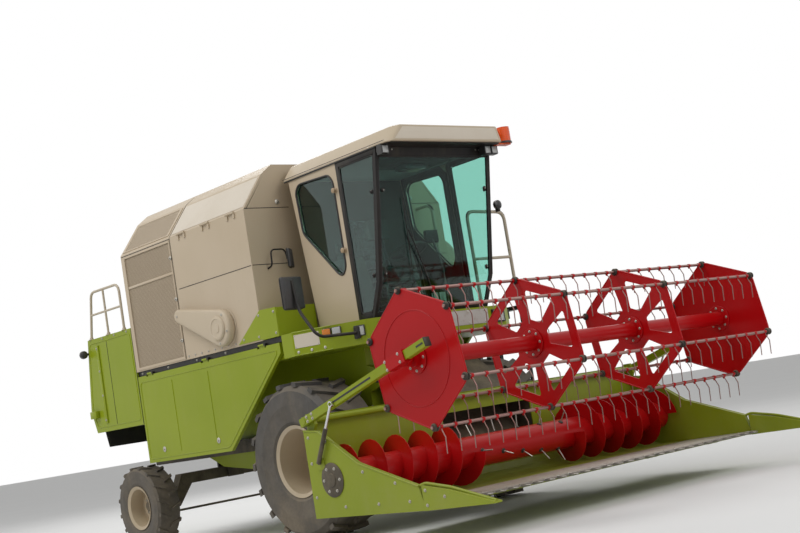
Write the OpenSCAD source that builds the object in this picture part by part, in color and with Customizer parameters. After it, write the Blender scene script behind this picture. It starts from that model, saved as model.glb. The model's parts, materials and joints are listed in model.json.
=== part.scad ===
/* [Body] */
// Half of the body's width over the side panels
body_half = 1400; // [1300:10:1500]
// Half of the threshing body's width, between the wheels
core_half = 700; // [600:10:740]
// Height of the sill, where the upper shell stands on the threshing body
sill_z = 2075; // [2050:5:2120]
// Height of the dark strip under the sill
strip_h = 55; // [40:5:80]
// Rear end of the threshing body and of the upper shell
shell_rear = -2985; // [-3100:5:-2900]
// Seam between the engine hood and the grain tank
shell_seam = -1860; // [-1950:5:-1800]
// Front face of the grain tank
tank_front = -350; // [-400:5:-320]
// Height where the shell's side turns into its upper bevel
shell_side_top = 3470; // [3300:10:3550]
// Height of the knee between the two bevels
shell_knee_z = 3840; // [3700:10:3880]
// Half width of the shell at that knee
shell_knee_half = 1110; // [1000:10:1200]
// Top of the shell
shell_top = 3945; // [3900:5:4000]
// Half width of the shell's flat top
shell_flat_half = 960; // [800:10:980]
// Thickness of the shell's and the hood's walls
wall = 30; // [20:2:40]

/* [Rear hood] */
// Top of the straw hood
hood_top = 2610; // [2500:10:2700]
// Rear end of the hood's top
hood_top_rear = -4070; // [-4150:5:-3950]
// Rear end of the hood, at its knee
hood_rear = -4220; // [-4300:5:-4150]
// Height of that knee
hood_knee_z = 1730; // [1650:10:1800]
// Lower edge of the hood
hood_bottom = 1460; // [1400:10:1550]

/* [Wheels] */
// Outer radius of a front tyre over its lugs
front_tyre_r = 800; // [760:5:840]
// Height of a front lug
front_lug_h = 38; // [25:1:45]
// Width of a front tyre
front_tyre_w = 580; // [480:10:600]
// Half of the front track
front_track_half = 1190; // [1180:5:1230]
// Lugs on each side of a front tyre
front_lugs = 18; // [14:1:20]
// Radius of a front rim
front_rim_r = 340; // [320:5:380]
// Distance between the axles
wheelbase = 3450; // [3350:10:3500]
// Outer radius of a rear tyre over its lugs
rear_tyre_r = 490; // [460:5:510]
// Height of a rear lug
rear_lug_h = 22; // [15:1:28]
// Width of a rear tyre
rear_tyre_w = 310; // [260:10:320]
// Half of the rear track
rear_track_half = 1215; // [1200:5:1250]
// Lugs on each side of a rear tyre
rear_lugs = 16; // [12:1:20]
// Radius of a rear rim
rear_rim_r = 235; // [215:5:255]
// Half of the distance between the kingpins
kingpin_half = 960; // [930:5:970]

/* [Cab] */
// Height of the cab's floor, the top of the front platform
cab_floor = 2080; // [2078:1:2100]
// Right side of the cab
cab_right = -900; // [-940:5:-880]
// Left side of the cab
cab_left = 680; // [660:5:720]
// Thickness of the cab's side walls
cab_wall = 30; // [20:2:40]
// Lower edge of the roof
roof_bottom = 3720; // [3700:5:3760]
// Top of the roof
roof_top = 3890; // [3860:5:3930]
// Front of the roof
roof_front = 1530; // [1450:10:1580]
// Rear of the roof
roof_rear = -250; // [-300:10:-220]
// Front edge of the cab's side panels
side_panel_front = 640; // [600:5:680]

/* [Header] */
// Half of the cutting width, inside the header's side walls
cut_half = 2250; // [2240:5:2300]
// Thickness of a header side wall
header_wall = 40; // [30:5:50]
// Front of the cutter bar
knife_x = 2790; // [2700:10:2850]
// Inner face of the header's back wall
back_wall_x = 1313; // [1300:1:1320]
// Tip of a crop divider
divider_tip = 3600; // [3400:10:3800]
// Radius of the intake auger over its flights
auger_r = 295; // [260:5:300]
// Radius of the intake auger's tube
auger_tube_r = 150; // [120:5:180]
// Place of the auger's axis along the machine
auger_x = 1625; // [1620:1:1640]
// Height of the auger's axis
auger_z = 640; // [635:1:660]
// Height of the feeder's pivot
feeder_pivot_z = 1500; // [1470:5:1520]

/* [Reel] */
// Place of the reel's axis along the machine
reel_x = 2750; // [2700:5:2780]
// Height of the reel's axis
reel_z = 1540; // [1520:5:1560]
// Distance of a tine bar from the reel's axis
reel_r = 588; // [560:2:600]
// Half of the distance between the end plates
reel_half = 2100; // [2080:5:2110]
// Radius of the reel's centre tube
reel_tube_r = 70; // [60:2:80]
// Length of a tine below its bar
tine_drop = 225; // [180:5:230]
// Tines on a bar
tines_per_bar = 26; // [12:2:30]
// Middle of a reel arm, sideways
arm_y = 2275; // [2270:1:2285]
// Width of a reel arm
arm_w = 60; // [50:2:66]
// Height of a reel arm
arm_h = 75; // [60:5:80]
// Slope of the reel arms at rest
arm_slope = 14.9; // [14:0.1:16]

/* [Hidden] */
$fn = 48;

// Running gap round a pin, and gap between pieces that only rest on each other
fit_gap = 0.3;
// Gap kept between a moving piece and its neighbours
swing_gap = 5;
// The frame's origin lies midway between the divider tips and the rear hood
origin_x = (divider_tip + hood_rear) / 2;

cream = [0.86, 0.83, 0.74];
green = [0.55, 0.66, 0.13];
red = [0.75, 0.06, 0.06];
black = [0.08, 0.08, 0.08];
steel = [0.55, 0.55, 0.56];

// Fillet of one corner of an outline: points on an arc of radius r between its two sides
function unit2(v) = v / norm(v);
function corner_arc(a, b, c, r, n) =
    let (u = unit2(a - b), w = unit2(c - b), half = acos(u * w) / 2,
         d = r / tan(half), m = b + unit2(u + w) * r / sin(half),
         p = b + u * d, q = b + w * d,
         a0 = atan2(p[1] - m[1], p[0] - m[0]), a1 = atan2(q[1] - m[1], q[0] - m[0]),
         turn = a1 - a0 > 180 ? a1 - a0 - 360 : a1 - a0 < -180 ? a1 - a0 + 360 : a1 - a0)
    [for (i = [0:n]) m + r * [cos(a0 + turn * i / n), sin(a0 + turn * i / n)]];
function rounded(pts, r, n = 4) =
    [for (i = [0:len(pts) - 1])
        each corner_arc(pts[(i + len(pts) - 1) % len(pts)], pts[i], pts[(i + 1) % len(pts)], r, n)];

// Outlines drawn in the XZ, YZ and XY planes
module prism_y(pts, y0, y1) { translate([0, y1, 0]) rotate([90, 0, 0]) linear_extrude(y1 - y0) polygon(pts); }
module prism_x(pts, x0, x1) { translate([x0, 0, 0]) rotate([90, 0, 90]) linear_extrude(x1 - x0) polygon(pts); }
module prism_z(pts, z0, z1) { translate([0, 0, z0]) linear_extrude(z1 - z0) polygon(pts); }
module box(low, high) { translate(low) cube(high - low); }

// Round bar between two points, and a bent tube through several
module bar(p, q, r) {
    d = q - p;
    translate(p) rotate([0, acos(d[2] / norm(d)), atan2(d[1], d[0])]) cylinder(h = norm(d), r = r);
}
function turn_at(pts, i) = i < 1 || i > len(pts) - 2 ? 0
    : acos(unit2(pts[i] - pts[i - 1]) * unit2(pts[i + 1] - pts[i]));
module elbow(a, b, c, r, bend) {
    u = unit2(b - a);
    w = unit2(c - b);
    turn = acos(u * w);
    inward = unit2(w - u * (u * w));
    m = b - u * bend * tan(turn / 2) + inward * bend;
    up = cross(-inward, u);
    multmatrix([[-inward[0], u[0], up[0], m[0]], [-inward[1], u[1], up[1], m[1]], [-inward[2], u[2], up[2], m[2]],
        [0, 0, 0, 1]]) rotate_extrude(angle = turn) translate([bend, 0]) circle(r = r);
}
// Bent rail swept along a path that lies in a plane with the given normal, with bends of radius bend
function arc3(a, b, c, bend, n) =
    let (u = unit2(b - a), w = unit2(c - b), turn = acos(u * w), inward = unit2(w - u * (u * w)),
         m = b - u * bend * tan(turn / 2) + inward * bend)
    [for (k = [0:n]) m + bend * (u * sin(turn * k / n) - inward * cos(turn * k / n))];
function bend_path(pts, bend, n) =
    [pts[0], for (i = [1:len(pts) - 2]) each arc3(pts[i - 1], pts[i], pts[i + 1], bend, n), pts[len(pts) - 1]];
function ring(path, i, normal, r, n) =
    let (last = len(path) - 1, u = unit2(path[max(i, 1)] - path[max(i, 1) - 1]),
         w = unit2(path[min(i + 1, last)] - path[min(i, last - 1)]), t = unit2(u + w), v = cross(t, normal) / (t * u))
    [for (k = [0:n - 1]) path[i] + r * (normal * cos(360 * k / n) + v * sin(360 * k / n))];
module rail(pts, normal, r, bend = 70, n = 10) {
    path = len(pts) > 2 ? bend_path(pts, bend, 3) : pts;
    last = len(path) - 1;
    polyhedron([for (i = [0:last]) each ring(path, i, normal, r, n)],
        [[for (k = [0:n - 1]) k], [for (k = [n - 1:-1:0]) last * n + k],
         for (i = [0:last - 1], k = [0:n - 1]) [i * n + k, (i + 1) * n + k, (i + 1) * n + (k + 1) % n, i * n + (k + 1) % n]]);
}
module bent_tube(pts, r, bend = 60) {
    for (i = [0:len(pts) - 2]) let (d = unit2(pts[i + 1] - pts[i]))
        bar(pts[i] + d * bend * tan(turn_at(pts, i) / 2), pts[i + 1] - d * bend * tan(turn_at(pts, i + 1) / 2), r);
    for (i = [1:len(pts) - 2]) elbow(pts[i - 1], pts[i], pts[i + 1], r, bend);
}
module across_y(x, z, y0, y1, r) { translate([x, y0, z]) rotate([-90, 0, 0]) cylinder(h = y1 - y0, r = r); }
module along_x(y, z, x0, x1, r) { translate([x0, y, z]) rotate([0, 90, 0]) cylinder(h = x1 - x0, r = r); }
// Left side as drawn, or its mirror image on the right
module on_side(side) { if (side > 0) children(); else mirror([0, 1, 0]) children(); }

axle_z = front_tyre_r;
rear_x = -wheelbase;
strip_z = sill_z - strip_h;
body_front = 395;
step_z = 1840;

// Frame
rail_in = core_half;
rail_w = 80;
rail_z0 = 950;
rail_z1 = 1100;
rail_rear = -3900;
axle_pivot_z = 740;
module frame_rails() color(black) {
    for (s = [-1, 1]) on_side(s) box([rail_rear, rail_in, rail_z0], [body_front, rail_in + rail_w, rail_z1]);
    box([rear_x - 120, -rail_in, rail_z0], [rear_x + 120, rail_in, rail_z1]);
    box([rail_rear, -rail_in, rail_z0], [rail_rear + 80, rail_in, rail_z1]);
    // Cheeks that hold the rear axle's pivot
    for (x = [rear_x - 120, rear_x + 90])
        difference() {
            box([x, -110, axle_pivot_z - 70], [x + 30, 110, rail_z0]);
            along_x(0, axle_pivot_z, x - 1, x + 31, 35 + fit_gap);
        }
}

// Front axle: beam, final drives and the spigots that carry the wheels
axle_beam_half = 880;
spigot_r = 80;
rim_disc_y = 1110;
rim_disc_t = 16;
module front_axle() color(black) {
    box([-130, -axle_beam_half, axle_z - 110], [130, axle_beam_half, rail_z0]);
    for (s = [-1, 1]) on_side(s) {
        across_y(0, axle_z, axle_beam_half, rim_disc_y - fit_gap, 180);
        across_y(0, axle_z, rim_disc_y - 10, rim_disc_y + rim_disc_t + 30, spigot_r);
        // Lugs for the header's lift cylinders
        difference() {
            union() for (y = lift_eye_y)
                prism_y([[130, axle_z - 110], [130, axle_z + 60], [lift_foot[0] + 10, lift_foot[1] + 40],
                    [lift_foot[0] + 45, lift_foot[1]], [lift_foot[0] + 10, lift_foot[1] - 40]], y, y + lift_lug_t);
            across_y(lift_foot[0], lift_foot[1], lift_eye_y[0] - 1, lift_eye_y[1] + lift_lug_t + 1, lift_pin_r + fit_gap);
        }
    }
}

// Rear axle: beam on its centre pivot, with an eye at each end for a kingpin
rear_beam_h = 130;
kingpin_r = 30;
eye_z0 = rear_tyre_r - 65;
eye_z1 = rear_tyre_r + 65;
module rear_axle() color(black) difference() {
    union() {
        box([rear_x - 80, -kingpin_half + 200, axle_pivot_z - rear_beam_h / 2],
            [rear_x + 80, kingpin_half - 200, axle_pivot_z + rear_beam_h / 2]);
        for (s = [-1, 1]) on_side(s) {
            prism_x([[kingpin_half - 330, axle_pivot_z - rear_beam_h / 2], [kingpin_half - 330, axle_pivot_z + rear_beam_h / 2],
                [kingpin_half - 200, axle_pivot_z + rear_beam_h / 2], [kingpin_half - 80, eye_z1], [kingpin_half - 20, eye_z1],
                [kingpin_half - 20, eye_z0], [kingpin_half - 130, eye_z0]], rear_x - 70, rear_x + 70);
            translate([rear_x, kingpin_half, eye_z0]) cylinder(h = eye_z1 - eye_z0, r = 65);
        }
        along_x(0, axle_pivot_z, rear_x - 120, rear_x + 120, 35);
    }
    for (s = [-1, 1]) translate([rear_x, s * kingpin_half, eye_z0 - 1])
        cylinder(h = eye_z1 - eye_z0 + 2, r = kingpin_r + fit_gap);
}

// Threshing body between the wheels, over the sieve box
cheek_t = 50;
feeder_stub_r = 50;
module threshing_body() color(green) difference() {
    union() {
        prism_y([[body_front, 1100], [body_front, step_z], [tank_front, step_z], [tank_front, sill_z],
            [shell_rear, sill_z], [shell_rear, 1350], [-2900, 1000], [-2500, 820], [-1500, 700],
            [-1000, 800], [-700, 1000], [-200, 1000]], -core_half, core_half);
        // Cheeks with the feeder's bearings
        for (s = [-1, 1]) on_side(s) prism_y([[body_front, feeder_pivot_z - 130], [body_front, feeder_pivot_z + 150],
            [feeder_x + 20, feeder_pivot_z + 90], [feeder_x + 80, feeder_pivot_z], [feeder_x + 20, feeder_pivot_z - 90]],
            core_half - cheek_t, core_half);
    }
    across_y(feeder_x, feeder_pivot_z, -core_half - 1, core_half + 1, feeder_stub_r + fit_gap);
}

// Straw hood, open below
module hood_outline(t) polygon([[shell_rear - t, hood_bottom - (t > 0 ? 200 : 0)], [shell_rear - t, hood_top - t],
    [hood_top_rear + t, hood_top - t], [hood_rear + t * 1.1, hood_knee_z], [hood_rear + 90 + t, hood_bottom - (t > 0 ? 200 : 0)]]);
module straw_hood() color(green) difference() {
    translate([0, body_half, 0]) rotate([90, 0, 0]) linear_extrude(2 * body_half) hood_outline(0);
    translate([0, body_half - wall, 0]) rotate([90, 0, 0]) linear_extrude(2 * (body_half - wall)) hood_outline(wall);
}

// Dark strips under the sill, with the pins on which the side panels hang
panel_t = 40;
panel_front_x = -80;
panel_rear_x = shell_rear + 10;
panel_pin_z = strip_z + 12;
panel_pin_y = body_half - 2;
panel_hinges = [-2700, -1500, -400];
hinge_len = 100;
hinge_r = 12;
hinge_pin_r = 6;
module sill_strips() color(black) for (s = [-1, 1]) on_side(s) {
    box([shell_rear, body_half - 60, strip_z], [-60, body_half - 20, sill_z]);
    for (x = panel_hinges) {
        along_x(panel_pin_y, panel_pin_z, x - hinge_len / 2 - 30, x + hinge_len / 2 + 30, hinge_pin_r);
        for (e = [-1, 1])
            box([x + e * (hinge_len / 2 + 15) - 14.5, body_half - 60, panel_pin_z - hinge_r],
                [x + e * (hinge_len / 2 + 15) + 14.5, panel_pin_y + hinge_r, panel_pin_z + hinge_r]);
    }
}

// Side panels, hung from those pins
panel_bottom = 1000;
panel_outline = [[panel_rear_x, panel_bottom], [panel_rear_x, strip_z - swing_gap], [panel_front_x, strip_z - swing_gap],
    [panel_front_x, 1910], [-560, 1530], [-1230, panel_bottom]];
module side_panel(side) color(green) on_side(side) {
    difference() {
        prism_y(panel_outline, body_half - panel_t, body_half);
        for (x = panel_hinges) box([x - hinge_len / 2 - 32, body_half - panel_t - 1, strip_z - 20],
            [x + hinge_len / 2 + 32, body_half + 1, strip_z]);
    }
    for (x = panel_hinges) difference() {
        union() {
            along_x(panel_pin_y, panel_pin_z, x - hinge_len / 2, x + hinge_len / 2, hinge_r);
            box([x - hinge_len / 2, body_half - 15, strip_z - 60], [x + hinge_len / 2, body_half - 5, panel_pin_z]);
        }
        along_x(panel_pin_y, panel_pin_z, x - hinge_len, x + hinge_len, hinge_pin_r + fit_gap);
    }
}
module side_panel_left() side_panel(1);
module side_panel_right() side_panel(-1);

// Cross-section of the upper shell, taken in by t
function shell_outline(t, bottom) = [[-body_half + t, bottom], [-body_half + t, shell_side_top - t * 0.4],
    [-shell_knee_half + t * 0.65, shell_knee_z - t * 0.8], [-shell_flat_half + t * 0.3, shell_top - t],
    [shell_flat_half - t * 0.3, shell_top - t], [shell_knee_half - t * 0.65, shell_knee_z - t * 0.8],
    [body_half - t, shell_side_top - t * 0.4], [body_half - t, bottom]];

// Grain tank: hopper, walls and gables
lid_t = 30;
hopper_half = 300;
hopper_z = 2160;
hopper_top = 2800;
lid_seam_z = shell_side_top - fit_gap;
tank_pin_y = body_half + 13;
tank_hinges = [-1600, -1100, -600];
module lid_hinge_knuckles(length, x_off, r) for (x = tank_hinges)
    along_x(tank_pin_y, shell_side_top, x + x_off - length / 2, x + x_off + length / 2, r);
module grain_tank() color(cream) difference() {
    union() {
        prism_x(shell_outline(lid_t + fit_gap, sill_z), shell_seam, tank_front);
        box([shell_seam, -body_half, sill_z], [tank_front, body_half, lid_seam_z]);
        for (s = [-1, 1]) on_side(s) for (e = [-1, 1]) {
            lid_hinge_knuckles(29, e * (hinge_len / 2 + 15), hinge_r);
            for (x = tank_hinges) box([x + e * (hinge_len / 2 + 15) - 14.5, body_half - 5, shell_side_top - 60],
                [x + e * (hinge_len / 2 + 15) + 14.5, tank_pin_y, shell_side_top - 4]);
        }
        for (s = [-1, 1]) on_side(s) lid_hinge_knuckles(hinge_len + 60, 0, hinge_pin_r);
    }
    // Open inside, down to the hopper
    prism_x([[-hopper_half, hopper_z], [-body_half + wall, hopper_top], [-body_half + wall, shell_top + 1],
        [body_half - wall, shell_top + 1], [body_half - wall, hopper_top], [hopper_half, hopper_z]],
        shell_seam + wall, tank_front - wall);
}

// Lids over the tank, hinged at their outer edges
ridge_gap = 5;
module tank_lid(side) color(cream) on_side(side) {
    difference() {
        prism_x([[body_half, shell_side_top], [shell_knee_half, shell_knee_z], [shell_flat_half, shell_top],
            [ridge_gap / 2, shell_top], [ridge_gap / 2, shell_top - lid_t], [shell_flat_half - lid_t * 0.3, shell_top - lid_t],
            [shell_knee_half - lid_t * 0.65, shell_knee_z - lid_t * 0.8], [body_half - lid_t, shell_side_top]],
            shell_seam + swing_gap, tank_front);
    }
    difference() {
        union() {
            lid_hinge_knuckles(hinge_len, 0, hinge_r);
            for (x = tank_hinges) box([x - hinge_len / 2, body_half - 3, shell_side_top], [x + hinge_len / 2, tank_pin_y, shell_side_top + hinge_r]);
        }
        lid_hinge_knuckles(hinge_len + 2, 0, hinge_pin_r + fit_gap);
    }
}
module tank_lid_left() tank_lid(1);
module tank_lid_right() tank_lid(-1);

// Engine hood behind the tank, with a bay for the radiator screen on the right
screen_x0 = -2900;
screen_x1 = -1890;
screen_z0 = 2120;
screen_z1 = 3420;
module engine_hood() color(cream) difference() {
    prism_x(shell_outline(0, sill_z), shell_rear, shell_seam);
    prism_x(shell_outline(wall, sill_z + wall), shell_rear + wall, shell_seam - wall);
    box([screen_x0, -body_half - 1, screen_z0], [screen_x1, -body_half + wall + 1, screen_z1]);
}
module engine_block() color(black) box([-2800, -500, sill_z + wall], [-1950, 600, 3000]);
module radiator_screen() color([0.45, 0.40, 0.33]) {
    box([screen_x0 + fit_gap, -body_half + 6, screen_z0 + fit_gap], [screen_x1 - fit_gap, -body_half + 18, screen_z1 - fit_gap]);
}

// Cover of the clean-grain drive on the right wall
module drive_cover() color(cream) {
    translate([0, -body_half, 0]) rotate([90, 0, 0]) linear_extrude(100) hull() {
        translate([-1000, 2310]) circle(r = 200);
        translate([-1780, 2560]) circle(r = 78);
    }
    translate([-1000, -body_half - 100, 2310]) rotate([90, 0, 0]) cylinder(h = 25, r1 = 130, r2 = 100);
}

// Green covers at the shell's front corners
cover_rear = -790;
cover_front = -50;
cover_top = 2390;
module corner_covers() color(green) for (s = [-1, 1]) on_side(s) {
    prism_y([[cover_rear, cab_floor + 10], [-330, cover_top], [cover_front, cover_top - 10], [cover_front, cab_floor + 10]],
        body_half, body_half + 8);
    box([tank_front, s > 0 ? 1050 : -cab_right, cab_floor], [cover_front, body_half + 8, cover_top - 12]);
}

// Front platform, which carries the cab
platform_outline = [[tank_front, -1340], [-30, -1340], [-30, -body_half], [150, -body_half], [550, -1200], [850, -1000],
    [900, -900], [900, 900], [850, 1000], [550, 1200], [150, body_half], [-30, body_half], [-30, 1340], [tank_front, 1340]];
module front_platform() color(green) prism_z(platform_outline, step_z, cab_floor);

// Cab
cab_rear_low = -10;
cab_rear_high = -170;
screen_edge = [[880, cab_floor], [1040, 2410], [1160, 3010], [1300, roof_bottom]];
glass_t = 6;
side_window = [[-70, 3570], [0, 3640], [510, 3620], [570, 3540], [570, 2660], [510, 2580], [440, 2600], [-45, 3120]];
module cab_shell() color(cream) {
    difference() {
        prism_y([[cab_rear_low, cab_floor], [side_panel_front, cab_floor], [side_panel_front, roof_bottom], [cab_rear_high, roof_bottom]],
            cab_right, cab_right + cab_wall);
        prism_y(side_window, cab_right - 1, cab_right + cab_wall + 1);
    }
    // Floor, rear wall and the left sill and header of the door
    box([cab_rear_low, cab_right + cab_wall, cab_floor], [screen_edge[0][0] - 18 - fit_gap, cab_left, cab_floor + 30]);
    prism_y([[cab_rear_low, cab_floor + 30], [cab_rear_low + 30, cab_floor + 30], [cab_rear_high + 30, roof_bottom], [cab_rear_high, roof_bottom]],
        cab_right + cab_wall, cab_left);
    prism_y([[side_panel_front + 5, cab_floor + 30], [side_panel_front + 35, cab_floor + 30],
        [side_panel_front + 35, roof_bottom], [side_panel_front + 5, roof_bottom]], cab_left - cab_wall, cab_left);
    // Pins of the door's hinges
    for (z = door_hinges) {
        translate([door_pin[0], door_pin[1], z - 20]) cylinder(h = 120, r = hinge_pin_r);
        for (e = [-20.3, 80.3]) {
            translate([door_pin[0], door_pin[1], z + e]) cylinder(h = 20, r = door_hinge_r);
            box([door_pin[0], cab_left, z + e], [side_panel_front + 35, cab_left + 6, z + e + 20]);
        }
    }
    // Front pillars
    for (y = [cab_right, cab_left - 25])
        prism_y(concat(screen_edge, [for (i = [3:-1:0]) screen_edge[i] - [35, 0]]), y, y + 25);
    box([screen_edge[0][0] - 40, cab_right + 25, cab_floor + 30], [screen_edge[0][0] - 18 - fit_gap, cab_left - 25, cab_floor + 60]);
}

door_gap = 4;
door_pin = [side_panel_front + 2.5, cab_left + 12];
door_hinges = [2300, 3450];
door_hinge_r = 11;
module door_frame() color(cream) {
    for (z = door_hinges) difference() {
        union() {
            translate([door_pin[0], door_pin[1], z]) cylinder(h = 80, r = door_hinge_r);
            box([side_panel_front - 60, cab_left, z], [door_pin[0], cab_left + 6, z + 80]);
        }
        translate([door_pin[0], door_pin[1], z - 1]) cylinder(h = 82, r = hinge_pin_r + fit_gap);
    }
    difference() {
        prism_y([[cab_rear_low + 34, cab_floor + 30 + door_gap], [side_panel_front, cab_floor + 30 + door_gap],
            [side_panel_front, roof_bottom - door_gap], [cab_rear_high + 34, roof_bottom - door_gap]],
            cab_left - cab_wall, cab_left);
        prism_y(side_window, cab_left - cab_wall - 1, cab_left + 1);
    }
}
pane_centre = [270, 3200];
side_pane = [for (p = side_window) pane_centre + (p - pane_centre) * (1 - fit_gap / 200)];
module door_glass() color([0.35, 0.6, 0.6, 0.4]) prism_y(side_pane, cab_left - 20, cab_left - 20 + glass_t);

module cab_glass() color([0.35, 0.6, 0.6, 0.4]) {
    // Windscreen
    prism_y([for (p = screen_edge) p - [12, 0], each [for (i = [3:-1:0]) screen_edge[i] - [18, 0]]],
        cab_right + 25 + fit_gap, cab_left - 25 - fit_gap);
    // Corner panes
    for (y = [cab_right + 10, cab_left - 16])
        prism_y([[side_panel_front + 36, cab_floor + 31], [side_panel_front + 36, roof_bottom], [screen_edge[3][0] - 36, roof_bottom],
            screen_edge[2] - [36, 0], screen_edge[1] - [36, 0], [screen_edge[0][0] - 36, cab_floor + 31]], y, y + glass_t);
    prism_y(side_pane, cab_right + 14, cab_right + 14 + glass_t);
}

module cab_roof() color(cream)
    prism_x([[cab_right - 20, roof_bottom], [cab_left + 20, roof_bottom], [cab_left - 20, roof_top], [-780, roof_top]], roof_rear, roof_front);

module steering_column() color(black) {
    bar([770, -110, cab_floor + 50], [640, -110, 2760], 40);
    translate([770, -110, cab_floor + 30]) cylinder(h = 40, r = 60);
    translate([640, -110, 2760]) rotate([0, -18, 0]) rotate_extrude() translate([200, 0]) circle(r = 14);
    for (a = [0:120:240]) translate([640, -110, 2760]) rotate([0, -18, 0]) rotate([0, 0, a]) rotate([0, 90, 0]) cylinder(h = 200, r = 8);
}
module driver_seat() color([0.2, 0.2, 0.22]) {
    box([60, -260, cab_floor + 30], [380, 40, 2520]);
    box([0, -350, 2520], [480, 130, 2640]);
    prism_y([[20, 2640], [130, 2640], [60, 3260], [-40, 3260]], -350, 130);
}

// Deck, guard and ladder on the left
deck_out = 1460;
module side_deck() color(black) {
    box([-30, body_half, cab_floor - 40], [700, deck_out, cab_floor]);
    rail([[720, 760, cab_floor], [720, 760, 3150], [720, 1330, 3130], [720, 1330, cab_floor]], [1, 0, 0], 16);
    rail([[720, 775, 2620], [720, 1315, 2620]], [1, 0, 0], 14);
    for (x = [120, 542]) box([x, deck_out + 40, 480], [x + 18, deck_out + 80, cab_floor - 40]);
    for (z = [520, 830, 1140, 1450, 1760]) box([120, deck_out + 40, z], [560, deck_out + 190, z + 30]);
    box([100, deck_out, cab_floor - 40], [580, deck_out + 80, cab_floor]);
    rail([[tank_front, 1030, 3405], [-90, 1030, 3405], [-90, 1030, cab_floor]], [0, 1, 0], 16);
}

module rear_rails() color(black) {
    rail([[-4000, -body_half + 20, hood_top + 4.2], [-3860, -body_half + 20, 3180],
        [-3170, -body_half + 20, 3175], [-3170, -body_half + 20, hood_top]], [0, 1, 0], 16, 90);
}

module lamps() color([0.9, 0.9, 0.85]) {
    for (s = [-1, 1]) on_side(s) box([900, 700, 1900], [915, 880, 2040]);
    for (y = [-915, 500, 600]) box([1330, y, roof_bottom - 100], [1400, y + 90, roof_bottom]);
}
module beacon() color([0.95, 0.4, 0.05]) {
    box([1400, cab_left - 40, roof_bottom - 15], [1480, cab_left + 150, roof_bottom]);
    translate([1440, cab_left + 105, roof_bottom]) cylinder(h = 175, r = 68);
}

module mirrors() color(black) {
    box([470, -1710, 2250], [920, -1690, 2600]);
    bar([770, -1064.3, 1960], [770, -1690, 1960], 16);
    bar([770, -1685, 1950], [770, -1685, 2251], 16);
}
module exhaust_pipe() color(black) along_x(700, 3200, shell_rear - 180, shell_rear - 0.3, 60);

// Unloading auger: elbow on the tank's left wall, and the tube folded back along the body
tube_y = 1640;
tube_z = 3000;
tube_r = 150;
swivel_x = -650;
swivel_z = 2680;
tube_rear = -4100;
module auger_elbow() color(cream) {
    bent_tube([[swivel_x, body_half, 2400], [swivel_x, tube_y, 2400], [swivel_x, tube_y, swivel_z]], tube_r, 200);
}
module unload_tube() color(cream) {
    bent_tube([[swivel_x, tube_y, swivel_z + fit_gap], [swivel_x, tube_y, tube_z], [tube_rear, tube_y, tube_z]], tube_r, 220);
}

// Rear towing jaw with its pin bore
hitch_z = 1025;
hitch_bore_r = 16;
module tow_hitch() color(black) difference() {
    union() {
        box([rail_rear - 30, -100, rail_z0], [rail_rear, 100, rail_z1]);
        for (z = [hitch_z - 60, hitch_z + 35]) box([rail_rear - 160, -50, z], [rail_rear - 30, 50, z + 25]);
    }
    translate([rail_rear - 110, 0, rail_z0]) cylinder(h = 200, r = hitch_bore_r);
}

// Tyres with chevron lugs, and rims
module tyre(r, lug_h, w, rim_r, lugs, lug_w) color(black) {
    rotate([-90, 0, 0]) rotate_extrude($fn = 64) polygon([[rim_r + fit_gap, -w * 0.4], [rim_r + 60, -w * 0.47],
        [(r + rim_r) / 2, -w / 2], [r - lug_h - w * 0.09, -w * 0.485], [r - lug_h, -w * 0.4], [r - lug_h, w * 0.4],
        [r - lug_h - w * 0.09, w * 0.485], [(r + rim_r) / 2, w / 2], [rim_r + 60, w * 0.47], [rim_r + fit_gap, w * 0.4]]);
    // Lug corners lie on the tyre's radius, and one of them is at the lowest point
    reach = lug_w * 1.3;
    lug_top = sqrt(r * r - reach * reach);
    for (s = [-1, 1]) on_side(s) for (i = [0:lugs - 1])
        rotate([180, (i + (s > 0 ? 0 : 0.5)) * 360 / lugs - atan(reach / lug_top), 0])
        translate([0, 0, r - lug_h - 12]) linear_extrude(lug_top - (r - lug_h - 12))
        polygon([[-reach, -w * 0.03], [-reach + lug_w, -w * 0.03], [reach, -w * 0.46], [reach - lug_w, -w * 0.46]]);
}
module rim(r, w, disc_y, disc_t, bore_r) color(cream) rotate([-90, 0, 0]) rotate_extrude($fn = 64)
    polygon([[bore_r + fit_gap, disc_y], [r * 0.6, disc_y], [r * 0.85, disc_y - 40], [r - 12, disc_y - 40], [r - 12, -w * 0.42], [r + 25, -w * 0.42 - 18],
        [r + 25, -w * 0.42 - 10], [r, -w * 0.42 - 2], [r, w * 0.42 + 2], [r + 25, w * 0.42 + 10], [r + 25, w * 0.42 + 18], [r - 12, w * 0.42],
        [r - 12, disc_y - 10], [r * 0.85 + 4, disc_y - 10], [r * 0.6 + 8, disc_y + disc_t], [bore_r + fit_gap, disc_y + disc_t]]);
module front_tyre(side) translate([0, side * front_track_half, axle_z]) on_side(side)
    tyre(front_tyre_r, front_lug_h, front_tyre_w, front_rim_r, front_lugs, 70);
module front_rim(side) translate([0, side * front_track_half, axle_z]) on_side(side)
    rim(front_rim_r, front_tyre_w, rim_disc_y - front_track_half, rim_disc_t, spigot_r);
module front_tyre_left() front_tyre(1);
module front_tyre_right() front_tyre(-1);
module front_rim_left() front_rim(1);
module front_rim_right() front_rim(-1);

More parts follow.
